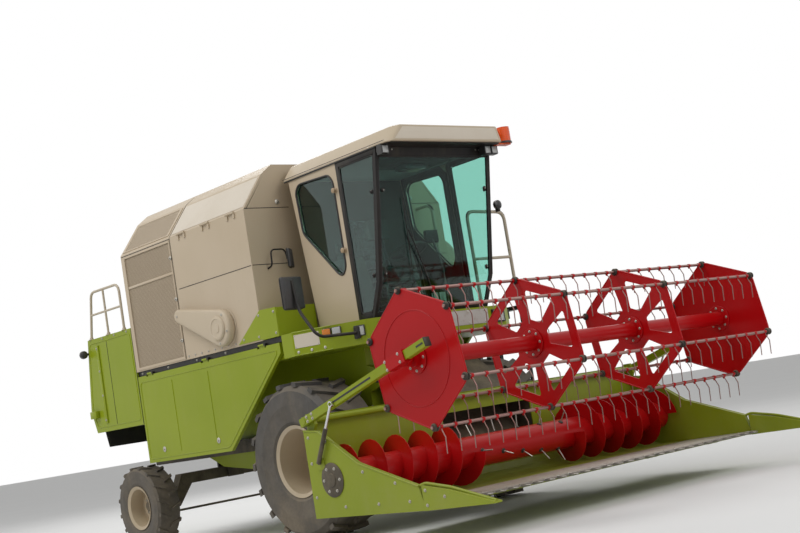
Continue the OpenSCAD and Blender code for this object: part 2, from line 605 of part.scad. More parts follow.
rear_spindle_r = 45;
rear_disc_y = rear_track_half - 30;
module rear_tyre(side) translate([rear_x, side * rear_track_half, rear_tyre_r]) on_side(side)
    tyre(rear_tyre_r, rear_lug_h, rear_tyre_w, rear_rim_r, rear_lugs, 40);
module rear_rim(side) translate([rear_x, side * rear_track_half, rear_tyre_r]) on_side(side)
    rim(rear_rim_r, rear_tyre_w, rear_disc_y - rear_track_half, 12, rear_spindle_r);
module rear_tyre_left() rear_tyre(1);
module rear_tyre_right() rear_tyre(-1);
module rear_rim_left() rear_rim(1);
module rear_rim_right() rear_rim(-1);

// Steering knuckles on their kingpins, with the arms for the tie rod
arm_back = 170;
tie_z = eye_z0 - 60;
module knuckle(side) color(black) translate([rear_x, 0, 0]) on_side(side) difference() {
    union() {
        translate([0, kingpin_half, eye_z0 - 45]) cylinder(h = eye_z1 - eye_z0 + 90, r = kingpin_r);
        for (z = [eye_z0 - 45, eye_z1 + fit_gap]) {
            translate([0, kingpin_half, z]) cylinder(h = 45 - fit_gap, r = 60);
            box([-55, kingpin_half, z], [55, kingpin_half + 95, z + 45 - fit_gap]);
        }
        box([-55, kingpin_half + 70, eye_z0 - 45], [55, kingpin_half + 95, eye_z1 + 45]);
        across_y(0, rear_tyre_r, kingpin_half + 90, rear_disc_y - fit_gap, 70);
        across_y(0, rear_tyre_r, kingpin_half + 90, rear_disc_y + 40, rear_spindle_r);
        box([-arm_back - 25, kingpin_half - 30, eye_z0 - 45], [0, kingpin_half + 30, eye_z0 - 25]);
    }
    translate([-arm_back, kingpin_half, eye_z0 - 50]) cylinder(h = 40, r = 12 + fit_gap);
}
module knuckle_left() knuckle(1);
module knuckle_right() knuckle(-1);
module tie_rod() color(black) {
    bar([rear_x - arm_back, -kingpin_half, tie_z], [rear_x - arm_back, kingpin_half, tie_z], 14);
    for (s = [-1, 1]) {
        translate([rear_x - arm_back, s * kingpin_half, tie_z - 16]) cylinder(h = eye_z0 - 45 - fit_gap - tie_z + 16, r = 22);
        translate([rear_x - arm_back, s * kingpin_half, tie_z]) cylinder(h = eye_z0 - 30 - tie_z, r = 12);
    }
}

// Feeder house between the threshing body and the header
feeder_x = body_front + 125;
feeder_r = 120;
feeder_half = 640;
feeder_wall = 20;
mouth_top = 1040;
mouth_bottom = 480;
module feeder_house() color(black) {
    difference() {
        union() {
            across_y(feeder_x, feeder_pivot_z, -feeder_half, feeder_half, feeder_r);
            across_y(feeder_x, feeder_pivot_z, -core_half + 5, core_half - 5, feeder_stub_r);
            prism_y([[feeder_x + 40, feeder_pivot_z + 113], [back_wall_x - sheet, mouth_top + 40], [back_wall_x - sheet, mouth_bottom - 40],
                [feeder_x - 70, feeder_pivot_z - 97]], -feeder_half, feeder_half);
        }
        prism_y([[feeder_x + 140, feeder_pivot_z + 10], [back_wall_x, mouth_top], [back_wall_x, mouth_bottom],
            [feeder_x + 60, feeder_pivot_z - 140]], -feeder_half + feeder_wall, feeder_half - feeder_wall);
    }
    // Lugs for the lift cylinders' rods
    for (s = [-1, 1]) on_side(s) difference() {
        union() {
            for (y = lift_eye_y) prism_y([[lift_top[0] - 80, lift_top[1] + 215], [lift_top[0] + 110, lift_top[1]],
                [lift_top[0] + 20, lift_top[1] - 40], [lift_top[0] - 40, lift_top[1] - 20]], y, y + lift_lug_t);
            across_y(lift_top[0], lift_top[1], lift_eye_y[0], lift_eye_y[1] + lift_lug_t, 14);
        }
    }
}

// Header lift cylinders, one each side of the feeder
lift_foot = [250, 620];
lift_top = [1020, 640];
lift_eye_y = [400, 480];
lift_lug_t = 20;
lift_pin_r = 20;
lift_len = norm(lift_top - lift_foot);
lift_ang = atan2(lift_top[1] - lift_foot[1], lift_top[0] - lift_foot[0]);
lift_y = (lift_eye_y[0] + lift_eye_y[1] + lift_lug_t) / 2;
lift_barrel_len = 560;
module lift_frame() for (s = [-1, 1]) translate([lift_foot[0], s * lift_y, lift_foot[1]]) rotate([0, -lift_ang, 0]) children();
module lift_barrels() color(black) lift_frame() {
    difference() {
        rotate([0, 90, 0]) cylinder(h = lift_barrel_len, r = 26);
        translate([60, 0, 0]) rotate([0, 90, 0]) cylinder(h = lift_barrel_len, r = 18 + fit_gap);
    }
    rotate([90, 0, 0]) cylinder(h = lift_eye_y[1] + lift_lug_t - lift_eye_y[0], r = lift_pin_r, center = true);
}
module lift_rods() color(steel) lift_frame() difference() {
    union() {
        translate([150, 0, 0]) rotate([0, 90, 0]) cylinder(h = lift_len - 150 - 20, r = 18);
        translate([lift_len, 0, 0]) rotate([90, 0, 0]) cylinder(h = 44, r = 34, center = true);
    }
    translate([lift_len, 0, 0]) rotate([90, 0, 0]) cylinder(h = 60, r = 21, center = true);
}

// Header: trough, floor, back wall and side walls
sheet = 12;
floor_z = auger_z - 312;
back_top = 1220;
side_top = 1100;
beam_half = arm_y - arm_w / 2 - 2 * swing_gap;
module header_table() color(green) {
    difference() {
        prism_y([[back_wall_x - sheet, back_top], [back_wall_x - sheet, floor_z - sheet], [knife_x - 60, floor_z - sheet],
            [knife_x, floor_z + 10], [knife_x, floor_z + 24], [auger_x + 320, floor_z], [auger_x, floor_z],
            for (a = [260:-15:185]) [auger_x + 312 * cos(a), auger_z + 312 * sin(a)],
            [back_wall_x, auger_z], [back_wall_x, back_top]], -cut_half, cut_half);
        box([back_wall_x - sheet - 1, -feeder_half + feeder_wall, mouth_bottom], [back_wall_x + 60, feeder_half - feeder_wall, mouth_top]);
        // Room for the reel arms' rear ends
        for (s = [-1, 1]) on_side(s) box([back_wall_x - sheet - 1, beam_half, side_top], [back_wall_x + 1, cut_half + 1, back_top + 1]);
    }
    box([back_wall_x - sheet - 70, -beam_half, back_top - 80], [back_wall_x - sheet, beam_half, back_top]);
    for (s = [-1, 1]) on_side(s) {
        prism_y([[back_wall_x - sheet, side_top], [1500, side_top - 20], [2000, 760], [knife_x - 60, 520], [knife_x, floor_z - sheet],
            [back_wall_x - sheet, floor_z - sheet]], cut_half, cut_half + header_wall);
        // Bracket of the reel arms' shaft
        difference() {
            prism_y([[back_wall_x - sheet, 1050], [back_wall_x - sheet, 1240], [1390, 1240], [1420, 1140], [1370, 1050]],
                arm_y - arm_w / 2 - 40, arm_y - arm_w / 2 - 6);
            across_y(arm_pivot[0], arm_pivot[1], arm_y - 200, arm_y, arm_shaft_r + fit_gap);
        }
        // Feet for the reel lift cylinders
        difference() {
            prism_y([[reel_foot[0] - 60, reel_foot[1] - 60], [reel_foot[0] + 60, reel_foot[1] - 60], [reel_foot[0] + 40, reel_foot[1] + 40],
                [reel_foot[0] - 40, reel_foot[1] + 40]], cut_half + header_wall, cut_half + header_wall + 12);
            across_y(reel_foot[0], reel_foot[1], cut_half, cut_half + 200, 15 + fit_gap);
        }
        // Plates that close the auger's ends
    }
}

module crop_dividers() color(green) for (s = [-1, 1]) on_side(s)
    prism_y([[knife_x + fit_gap, floor_z - sheet], [knife_x + fit_gap, 520], [3100, 470], [divider_tip, 350], [divider_tip, 335]],
        cut_half - 20, cut_half + header_wall + 20);

guard_pitch = 152.4;
module knife_guards() color(steel) {
    box([knife_x + fit_gap, -cut_half + 21, floor_z + 8], [knife_x + 40, cut_half - 21, floor_z + 24]);
    for (i = [-14:14]) translate([knife_x + 35, i * guard_pitch, floor_z + 16]) rotate([0, 90, 0]) cylinder(h = 110, r1 = 14, r2 = 4);
}

// Intake auger
auger_half = cut_half - 15;
module header_auger() color(red) {
    across_y(auger_x, auger_z, -auger_half, auger_half, auger_tube_r);
    across_y(auger_x, auger_z, -cut_half + fit_gap, cut_half - fit_gap, 40);
    for (s = [-1, 1]) on_side(s) for (y = [700:300:auger_half]) across_y(auger_x, auger_z, y, y + 8, auger_r);
}

// Reel arms on their cross shaft
arm_pivot = [1350, 1180];
arm_shaft_r = 28;
arm_len = 1815;
module arm_frame() translate([arm_pivot[0], 0, arm_pivot[1]]) rotate([0, -arm_slope, 0]) children();
module reel_arms() color(green) {
    across_y(arm_pivot[0], arm_pivot[1], -arm_y - arm_w / 2 - 5, arm_y + arm_w / 2 + 5, arm_shaft_r);
    arm_frame() for (s = [-1, 1]) on_side(s) box([-60, arm_y - arm_w / 2, -arm_h / 2], [arm_len, arm_y + arm_w / 2, arm_h / 2]);
    for (s = [-1, 1]) on_side(s) across_y(reel_top[0], reel_top[1], arm_y, arm_y + arm_w / 2 + 40, reel_pin_r);
}

// Carriages that slide along the arms and hold the reel's bearings
reel_from_pivot = [reel_x, reel_z] - arm_pivot;
reel_along = reel_from_pivot[0] * cos(arm_slope) + reel_from_pivot[1] * sin(arm_slope);
reel_off = -reel_from_pivot[0] * sin(arm_slope) + reel_from_pivot[1] * cos(arm_slope);
stub_r = 30;
slide_gap = 0.5;
module reel_carriages() color(red) arm_frame() for (s = [-1, 1]) on_side(s) difference() {
    union() {
        box([reel_along - 150, arm_y - arm_w / 2 - 14, -arm_h / 2 - 14], [reel_along + 90, arm_y + arm_w / 2 + 14, arm_h / 2 + 14]);
        translate([reel_along, arm_y - arm_w / 2 - 44, reel_off]) rotate([-90, 0, 0]) cylinder(h = 32, r = 60);
    }
    box([reel_along - 200, arm_y - arm_w / 2 - slide_gap, -arm_h / 2 - slide_gap], [reel_along + 200, arm_y + arm_w / 2 + slide_gap, arm_h / 2 + slide_gap]);
    translate([reel_along, arm_y - arm_w / 2 - 80, reel_off]) rotate([-90, 0, 0]) cylinder(h = 60, r = stub_r + fit_gap);
}

// Reel: centre tube, end plates and spider plates
reel_turn = 98.5;
plate_t = 10;
spider_y = reel_half / 3;
stub_end = arm_y - arm_w / 2 - 14 - 10;
bar_r = 14;
function reel_angle(i) = reel_turn - 60 * i;
function reel_point(r, a) = [reel_x + r * cos(a), reel_z + r * sin(a)];
module hex_plate(y, r, t) prism_y([for (i = [0:5]) each [reel_point(r, reel_angle(i) + 4), reel_point(r, reel_angle(i) - 4)]], y - t / 2, y + t / 2);
module reel_frame() color(red) {
    across_y(reel_x, reel_z, -reel_half - 60, reel_half + 90, reel_tube_r);
    across_y(reel_x, reel_z, -stub_end, stub_end, stub_r);
    for (y = [-reel_half, reel_half]) difference() {
        hex_plate(y, reel_r + 4, plate_t);
        for (i = [0:5]) let (p = reel_point(reel_r, reel_angle(i))) across_y(p[0], p[1], y - plate_t, y + plate_t, bar_r + fit_gap);
    }
    for (y = [-spider_y, spider_y]) difference() {
        hex_plate(y, reel_r + 4, plate_t);
        for (i = [0:5]) let (a = reel_angle(i) - 30)
            prism_y(rounded([reel_point(210, a - 17), reel_point(480, a - 21), reel_point(450, a), reel_point(480, a + 21), reel_point(210, a + 17)], 20),
                y - plate_t, y + plate_t);
        for (i = [0:5]) let (p = reel_point(reel_r, reel_angle(i))) across_y(p[0], p[1], y - plate_t, y + plate_t, bar_r + fit_gap);
    }
}

// Tine bars with their wire tines
bar_half = reel_half + 40;
tine_pitch = 2 * (reel_half - 60) / (tines_per_bar - 1);
tine_w = 6;
module tine(x, z, y) prism_y([[x - 4, z - bar_r + 4], [x + 4, z - bar_r + 4], [x + 44, z - 90], [x + 34, z - tine_drop], [x + 28, z - tine_drop], [x + 36, z - 90]],
    y - tine_w / 2, y + tine_w / 2);
module reel_bars() color(red) for (i = [0:5]) let (p = reel_point(reel_r, reel_angle(i))) {
    across_y(p[0], p[1], -bar_half, bar_half, bar_r);
    for (k = [0:tines_per_bar - 1]) tine(p[0], p[1], -reel_half + 60 + k * tine_pitch);
}

// Reel lift cylinders outside the header's side walls
reel_foot = [1500, 800];
reel_top = [1800, 1290];
reel_pin_r = 10;
reel_lift_len = norm(reel_top - reel_foot);
reel_lift_ang = atan2(reel_top[1] - reel_foot[1], reel_top[0] - reel_foot[0]);
module reel_lift_frame() for (s = [-1, 1]) on_side(s) translate([reel_foot[0], cut_half + header_wall + 12 + 22, reel_foot[1]]) rotate([0, -reel_lift_ang, 0]) children();
module reel_lift_barrels() color(black) reel_lift_frame() {
    difference() {
        rotate([0, 90, 0]) cylinder(h = 340, r = 20);
        translate([40, 0, 0]) rotate([0, 90, 0]) cylinder(h = 340, r = 12 + fit_gap);
    }
    rotate([90, 0, 0]) cylinder(h = 34 - fit_gap, r = 15);
}
module reel_lift_rods() color(steel) reel_lift_frame() difference() {
    union() {
        translate([90, 0, 0]) rotate([0, 90, 0]) cylinder(h = reel_lift_len - 90 - 18, r = 12);
        translate([reel_lift_len, 0, 0]) rotate([90, 0, 0]) cylinder(h = 22, r = 26, center = true);
    }
    translate([reel_lift_len, 0, 0]) rotate([90, 0, 0]) cylinder(h = 40, r = reel_pin_r + 6, center = true);
}

module placed() translate([-origin_x, 0, 0]) children();
placed() frame_rails();
placed() front_axle();
placed() rear_axle();
placed() threshing_body();
placed() straw_hood();
placed() sill_strips();
placed() grain_tank();
placed() engine_hood();
placed() engine_block();
placed() radiator_screen();
placed() drive_cover();
placed() corner_covers();
placed() front_platform();
placed() cab_shell();
placed() cab_roof();
placed() cab_glass();
placed() steering_column();
placed() driver_seat();
placed() side_deck();
placed() rear_rails();
placed() lamps();
placed() beacon();
placed() mirrors();
placed() exhaust_pipe();
placed() auger_elbow();
placed() tow_hitch();
placed() door_frame();
placed() door_glass();
placed() tank_lid_left();
placed() tank_lid_right();
placed() side_panel_left();
placed() side_panel_right();
placed() unload_tube();
placed() front_tyre_left();
placed() front_rim_left();
placed() front_tyre_right();
placed() front_rim_right();
placed() knuckle_left();
placed() knuckle_right();
placed() rear_tyre_left();
placed() rear_rim_left();
placed() rear_tyre_right();
placed() rear_rim_right();
placed() tie_rod();
placed() feeder_house();
placed() header_table();
placed() crop_dividers();
placed() knife_guards();
placed() header_auger();
placed() reel_arms();
placed() reel_carriages();
placed() reel_frame();
placed() reel_bars();
placed() lift_barrels();
placed() lift_rods();
placed() reel_lift_barrels();
placed() reel_lift_rods();
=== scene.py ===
import json
import math
import bpy
from mathutils import Matrix, Vector


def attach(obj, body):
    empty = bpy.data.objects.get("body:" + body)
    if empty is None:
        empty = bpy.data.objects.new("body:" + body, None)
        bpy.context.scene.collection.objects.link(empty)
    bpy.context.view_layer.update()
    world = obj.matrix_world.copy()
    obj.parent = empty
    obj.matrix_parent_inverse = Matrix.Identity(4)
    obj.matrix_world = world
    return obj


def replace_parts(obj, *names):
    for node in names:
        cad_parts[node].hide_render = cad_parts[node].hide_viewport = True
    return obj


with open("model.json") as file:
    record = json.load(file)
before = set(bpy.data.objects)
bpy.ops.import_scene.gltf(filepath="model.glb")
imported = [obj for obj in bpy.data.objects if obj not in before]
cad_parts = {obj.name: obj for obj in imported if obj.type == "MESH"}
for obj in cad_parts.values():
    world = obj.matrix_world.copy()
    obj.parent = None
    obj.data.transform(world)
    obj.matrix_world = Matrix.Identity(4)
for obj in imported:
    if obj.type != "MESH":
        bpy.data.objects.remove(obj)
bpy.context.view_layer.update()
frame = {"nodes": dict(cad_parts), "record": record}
nodes = frame["nodes"]
print("frame loaded:", len(nodes), "nodes")

fullTurn = 2 * math.pi
fromAxle = 0.310  # the front axle's place along the machine, from the frame's origin
bothSides = ((-1, "right"), (1, "left"))
origin, upward, across = (0, 0, 0), (0, 0, 1), (0, 1, 0)
# slots with the finish that some of their pieces wear
# dark plastic of the wheel, consoles and arm rests, also laid on the cab's inner walls as painted shade
darkPlasticAndShade = ("cab_plastic", "cabLining")
sealed = ("trim_black", "rubberSeal")
zinced = ("bare_steel", "zincBolt")
beige = ("chassis_black", "railBeige")
moulded = ("body_cream", "moulded_cream")


def spot(x, y, z):
    # a place counted along the machine from the front axle, as the part's source counts it
    return Vector((x + fromAxle, y, z))


def spots(*places):
    return [spot(*place) for place in places]


def atWall(y, pairs):
    return [spot(x, y, z) for x, z in pairs]


def atFront(x, pairs):
    return [spot(x, y, z) for y, z in pairs]


def atHeight(z, pairs):
    return [spot(x, y, z) for x, y in pairs]


def around(angle, flat=False):
    # one metre out from an axis that runs across the machine, or from an upright one
    return Vector((math.cos(angle), math.sin(angle), 0) if flat else (math.cos(angle), 0, math.sin(angle)))


def ringOf(centre, radius, count, start=0.0, flat=False):
    angles = [math.radians(start) + fullTurn * k / count for k in range(count)]
    return [Vector(centre) + radius * around(a, flat) for a in angles]


def rowOf(start, end, count):
    return [spot(*start).lerp(spot(*end), k / (count - 1)) for k in range(count)]


def shrunk(corners, share):
    # the same outline drawn in towards its middle
    middle = sum(corners, Vector()) / len(corners)
    return [corner.lerp(middle, share) for corner in corners]


def standing(place, facing):
    return Matrix.Translation(Vector(place)) @ Vector(facing).to_track_quat("Z", "Y").to_matrix().to_4x4()


def freshStart():
    if bpy.context.object and bpy.context.object.mode != "OBJECT":
        bpy.ops.object.mode_set(mode="OBJECT")
    bpy.ops.object.select_all(action="DESELECT")


def pickOnly(piece):
    freshStart()
    piece.select_set(True)
    bpy.context.view_layer.objects.active = piece


def bakePlace(piece):
    pickOnly(piece)
    bpy.ops.object.transform_apply(location=True, rotation=True, scale=True)
    return piece


def named(label):
    # the piece made last, with its place baked
    piece = bakePlace(bpy.context.object)
    piece.name = label
    return piece


def applied(piece, kind, **settings):
    # adds a modifier and applies it
    pickOnly(piece)
    change = piece.modifiers.new(kind.lower(), kind)
    for key, value in settings.items():
        setattr(change, key, value)
    bpy.ops.object.modifier_apply(modifier=change.name)
    return piece


def softenEdges(piece, width, steps=2, angle=30):
    # bevels every edge sharper than the angle
    if width > 0:
        applied(piece, "BEVEL", width=width, segments=steps, limit_method="ANGLE",
            angle_limit=math.radians(angle))
    return piece


def selectAll():
    bpy.ops.object.mode_set(mode="EDIT")
    bpy.ops.mesh.select_all(action="SELECT")


def extrude(push):
    bpy.ops.mesh.extrude_region_move(TRANSFORM_OT_translate={"value": tuple(push)})


def closeUp():
    # turns all faces outwards and leaves edit mode
    bpy.ops.mesh.select_all(action="SELECT")
    bpy.ops.mesh.normals_make_consistent(inside=False)
    bpy.ops.object.mode_set(mode="OBJECT")


def block(label, low, high, rounding=0.0, steps=2):
    freshStart()
    middle = [(a + b) / 2 for a, b in zip(low, high)]
    size = [abs(b - a) for a, b in zip(low, high)]
    bpy.ops.mesh.primitive_cube_add(size=1, location=middle, scale=size)
    return softenEdges(named(label), rounding, steps)


def rod(label, start, end, radius, sides=20, tipRadius=None):
    freshStart()
    start, end = Vector(start), Vector(end)
    axis = end - start
    bpy.ops.mesh.primitive_cone_add(vertices=sides, radius1=radius, radius2=tipRadius or radius,
        depth=axis.length, location=(start + end) / 2, rotation=axis.to_track_quat("Z", "Y").to_euler())
    return named(label)


def turned(label, profile, place=origin, facing=upward, sides=32):
    # profile: (radius, distance along the axis) pairs, spun round the axis by extruding a ring
    freshStart()
    radius, start = profile[0]
    bpy.ops.mesh.primitive_circle_add(vertices=sides, radius=radius, fill_type="NGON", location=(0, 0, start))
    piece = named(label)
    selectAll()
    for (r0, z0), (r1, z1) in zip(profile, profile[1:]):
        extrude((0, 0, z1 - z0))
        if abs(r1 - r0) > 1e-9:
            bpy.ops.transform.resize(value=(r1 / r0, r1 / r0, 1), center_override=(0, 0, z1))
    closeUp()
    piece.matrix_world = standing(place, facing)
    return bakePlace(piece)


def outlined(label, outline, filled=True):
    # a face or a ring of edges through an outline's points, left selected in edit mode
    freshStart()
    bpy.ops.mesh.primitive_circle_add(vertices=len(outline), radius=1,
        fill_type="NGON" if filled else "NOTHING")
    piece = named(label)
    for corner, point in zip(piece.data.vertices, outline):
        corner.co = point
    selectAll()
    return piece


def panel(label, outline, push, rounding=0.0, steps=1):
    # flat outline thickened by the vector push
    piece = outlined(label, outline)
    extrude(push)
    closeUp()
    return softenEdges(piece, rounding, steps)


def spread(label, outline, target, filled, push, rounding, steps):
    # one outline extruded in place to a second one, then thickened by push if there is one
    piece = outlined(label, outline, filled)
    extrude(origin)
    bpy.ops.object.mode_set(mode="OBJECT")
    for corner in piece.data.vertices:
        if corner.select:
            nearest = min(range(len(outline)), key=lambda k: (outline[k] - corner.co).length)
            corner.co = target[nearest]
    selectAll()
    if push:
        extrude(push)
    closeUp()
    return softenEdges(piece, rounding, steps)


def rimPanel(label, outer, inner, push, rounding=0.003):
    # flat ring between two outlines with as many corners
    return spread(label, outer, inner, False, push, rounding, 1)


def loft(label, low, high, rounding, steps):
    # solid between two outlines with as many corners
    return spread(label, low, high, True, None, rounding, steps)


def pipe(label, route, radius, closed=False, bend=False, sides=3):
    # round tube through the points of a route
    freshStart()
    line = bpy.data.curves.new(label, "CURVE")
    line.dimensions = "3D"
    line.bevel_depth = radius
    line.bevel_resolution = sides
    line.use_fill_caps = True
    line.resolution_u = 6
    spline = line.splines.new("BEZIER" if bend else "POLY")
    points = spline.bezier_points if bend else spline.points
    points.add(len(route) - 1)
    for knot, point in zip(points, route):
        knot.co = point if bend else (*point, 1)
        if bend:
            knot.handle_left_type = knot.handle_right_type = "AUTO"
    spline.use_cyclic_u = closed
    piece = bpy.data.objects.new(label, line)
    bpy.context.scene.collection.objects.link(piece)
    pickOnly(piece)
    bpy.ops.object.convert(target="MESH")
    return named(label)


def roundedRoute(corners, radius, steps=4, closed=False):
    # points of a bent tube or a frame: each corner becomes a short arc
    route = []
    count = len(corners)
    for i, corner in enumerate(corners):
        if not closed and i in (0, count - 1):
            route.append(corner)
            continue
        before, after = corners[i - 1], corners[(i + 1) % count]
        reach = min(radius, (before - corner).length * 0.45, (after - corner).length * 0.45)
        a, b = [corner + (end - corner).normalized() * reach for end in (before, after)]
        for k in range(steps + 1):
            t = k / steps
            route.append(a * (1 - t) ** 2 + corner * 2 * t * (1 - t) + b * t ** 2)
    return route


def joined(pieces, label):
    freshStart()
    for piece in pieces:
        piece.select_set(True)
    bpy.context.view_layer.objects.active = pieces[0]
    bpy.ops.object.transform_apply(location=True, rotation=True, scale=True)
    if len(pieces) > 1:
        bpy.ops.object.join()
    bpy.context.object.name = label
    return bpy.context.object


def copies(piece, places, label):
    # copies of one piece, moved by each vector or matrix, joined to one object
    made = []
    for place in places:
        twin = piece.copy()
        twin.data = piece.data.copy()
        bpy.context.scene.collection.objects.link(twin)
        move = place if isinstance(place, Matrix) else Matrix.Translation(Vector(place))
        twin.matrix_world = move @ piece.matrix_world
        made.append(twin)
    bpy.data.objects.remove(piece)
    return joined(made, label)


def settle(piece, slot, finish=None, body="chassis", angle=35):
    # gives a finished piece its body and the material of its finish, or else of its slot
    bakePlace(piece)
    bpy.ops.object.shade_smooth_by_angle(angle=math.radians(angle))
    piece.data.materials.clear()
    piece.data.materials.append(materials[finish or slot])
    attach(piece, body)
    return piece


def sheet(label, outline, push, rounding, slot, finish=None, body="chassis", steps=1):
    return settle(panel(label, outline, push, rounding, steps), slot, finish, body)


def slab(label, low, high, rounding, slot, finish=None, body="chassis", steps=2):
    return settle(block(label, spot(*low), spot(*high), rounding, steps), slot, finish, body)


def wire(label, points, thick, slot, finish=None, body="chassis", closed=False, sides=3, angle=50):
    return settle(pipe(label, points, thick, closed, False, sides), slot, finish, body, angle)


def knobs(label, profile, places, facing, slot, finish=None, body="chassis", sides=20):
    # one turned form at each place
    stands = [standing(place, facing) for place in places]
    return settle(copies(turned(label, profile, sides=sides), stands, label), slot, finish, body)


def bolts(label, places, facing, size=0.010, body="chassis"):
    # hexagon heads on pressed washers
    brim = [(size * 1.45, 0), (size * 1.45, size * 0.2), (size * 1.25, size * 0.32)]
    washer = turned("washer", brim, sides=14)
    head = rod("head", (0, 0, size * 0.25), (0, 0, size), size, 6, size * 0.93)
    stands = [standing(place, facing) for place in places]
    return settle(copies(joined([washer, head], "bolt"), stands, label), *zinced, body)


def sealRing(label, corners, radius, thick, slot="trim_black", finish="rubberSeal", body="chassis"):
    # round beading along a frame of straight runs with bent corners
    return wire(label, roundedRoute(corners, radius, 4, True), thick, slot, finish, body, True, 2, 35)


def tube(label, corners, radius, bend=0.08, slot="chassis_black", finish=None, body="chassis"):
    # bent round tube with open corners
    return wire(label, roundedRoute(corners, bend, 6), radius, slot, finish, body, sides=4)


def seams(label, runs, thick=0.004, body="chassis"):
    # dark joints between sheets, laid as beads half sunk in the surface
    lines = [rod(label, spot(*start), spot(*end), thick, 6) for start, end in runs]
    return settle(joined(lines, label), *sealed, body)


def swell(piece, cap, voxel, pressure=4.0, frames=20):
    # blows a pad up as sewn cloth, no point further than the cap
    applied(piece, "REMESH", mode="VOXEL", voxel_size=voxel)
    start = [corner.co.copy() for corner in piece.data.vertices]
    air = piece.modifiers.new("air", "CLOTH")
    air.settings.use_pressure = True
    air.settings.uniform_pressure_force = pressure
    air.settings.effector_weights.gravity = 0
    for number in range(1, frames + 1):
        bpy.context.scene.frame_set(number)
    bpy.ops.object.modifier_apply(modifier=air.name)
    bpy.context.scene.frame_set(1)
    for corner, rest in zip(piece.data.vertices, start):
        travel = corner.co - rest
        if travel.length > cap:
            corner.co = rest + travel * (cap / travel.length)
    return applied(piece, "SUBSURF", levels=1, render_levels=1)


def sewn(piece, lines, depth=0.010, width=0.010):
    # presses sewn channels: each line is a point, the direction that crosses it and the way the pad faces
    before = [(corner.co.copy(), corner.normal.copy()) for corner in piece.data.vertices]
    lines = [tuple(Vector(v) for v in line) for line in lines]
    for corner, (place, normal) in zip(piece.data.vertices, before):
        for start, crossing, facing in lines:
            off = (place - start).dot(crossing)
            if abs(off) < 3 * width and normal.dot(facing) > 0.35:
                corner.co -= facing * depth * math.exp(-(off / width) ** 2)
    return piece


class Wiring:
    # short calls for adding and linking nodes in one tree
    def __init__(self, tree):
        self.tree = tree

    def add(self, kind, **settings):
        node = self.tree.nodes.new("ShaderNode" + kind)
        for key, value in settings.items():
            setattr(node, key, value)
        return node

    def feed(self, node, **values):
        for key, value in values.items():
            socket = node.inputs[int(key[1:]) if key[0] == "n" and key[1:].isdigit() else key]
            if isinstance(value, bpy.types.NodeSocket):
                self.tree.links.new(value, socket)
            else:
                socket.default_value = value
        return node

    def noise(self, vector, scale, detail=3.0, rough=0.55):
        node = self.add("TexNoise")
        return self.feed(node, Vector=vector, Scale=scale, Detail=detail, Roughness=rough).outputs[0]

    def wave(self, vector, way, scale=190.0, distortion=0.6):
        node = self.add("TexWave", bands_direction=way, wave_profile="SIN")
        return self.feed(node, Vector=vector, Scale=scale, Distortion=distortion).outputs[1]

    def span(self, value, low, high, toLow=0.0, toHigh=1.0):
        return self.feed(self.add("MapRange"), n0=value, n1=low, n2=high, n3=toLow, n4=toHigh).outputs[0]

    def sums(self, operation, a, b):
        return self.feed(self.add("Math", operation=operation), n0=a, n1=b).outputs[0]

    def plus(self, a, b):
        return self.sums("ADD", a, b)

    def times(self, a, b):
        return self.sums("MULTIPLY", a, b)

    def clamp(self, value):
        return self.feed(self.add("Clamp"), n0=value).outputs[0]

    def mix(self, factor, a, b):
        return self.feed(self.add("Mix", data_type="RGBA"), n0=factor, n6=a, n7=b).outputs[2]

    def stretch(self, vector, scale):
        return self.feed(self.add("Mapping"), Vector=vector, Scale=scale).outputs[0]

    def group(self, tree, **values):
        return self.feed(self.add("Group", node_tree=tree), **values).outputs

    def dust(self, vector, amount, low, streaks):
        return self.group(dustGroup, Vector=vector, Amount=amount, Low=low, Streaks=streaks)[0]

    def bump(self, shader, height, strength, distance):
        bump = self.feed(self.add("Bump"), Strength=strength, Distance=distance, Height=height)
        self.feed(shader, Normal=bump.outputs[0])


def newGroup(name, inputs, outputs):
    tree = bpy.data.node_groups.new(name, "ShaderNodeTree")
    for way, sockets in (("INPUT", inputs), ("OUTPUT", outputs)):
        for label, kind in sockets.items():
            tree.interface.new_socket(label, in_out=way, socket_type="NodeSocket" + kind)
    return tree, Wiring(tree), tree.nodes.new("NodeGroupInput").outputs, tree.nodes.new("NodeGroupOutput")


def makeDustGroup():
    # dust that lies on upward faces and low down, and rain streaks down the sides
    tree, w, given, result = newGroup("fieldDust", {"Vector": "Vector", "Amount": "Float", "Low": "Float",
        "Streaks": "Float"}, {"Mask": "Float"})
    at, reach = given["Vector"], given["Low"]
    height = w.feed(w.add("SeparateXYZ"), Vector=at).outputs[2]
    facing = w.feed(w.add("SeparateXYZ"), Vector=w.add("TexCoord").outputs["Normal"]).outputs[2]
    blotch = w.noise(at, 2.3, 5.0, 0.6)
    fine = w.noise(at, 34.0, 3.0, 0.6)
    up = w.span(facing, 0.15, 0.95, 0.0, 0.75)
    low = w.span(w.sums("DIVIDE", w.sums("SUBTRACT", reach, height), reach), 0.0, 0.9, 0.0, 0.8)
    runs = w.span(w.noise(w.stretch(at, (9.0, 9.0, 0.55)), 1.0, 4.0, 0.6), 0.5, 0.78)
    lying = w.plus(w.plus(up, low), w.times(runs, given["Streaks"]))
    patchy = w.times(w.span(blotch, 0.3, 0.7, 0.35, 1.1), w.span(fine, 0.3, 0.7, 0.75, 1.1))
    film = w.plus(w.times(lying, patchy), w.span(blotch, 0.45, 0.8, 0.0, 0.22))
    w.feed(result, Mask=w.clamp(w.times(film, given["Amount"])))
    return tree


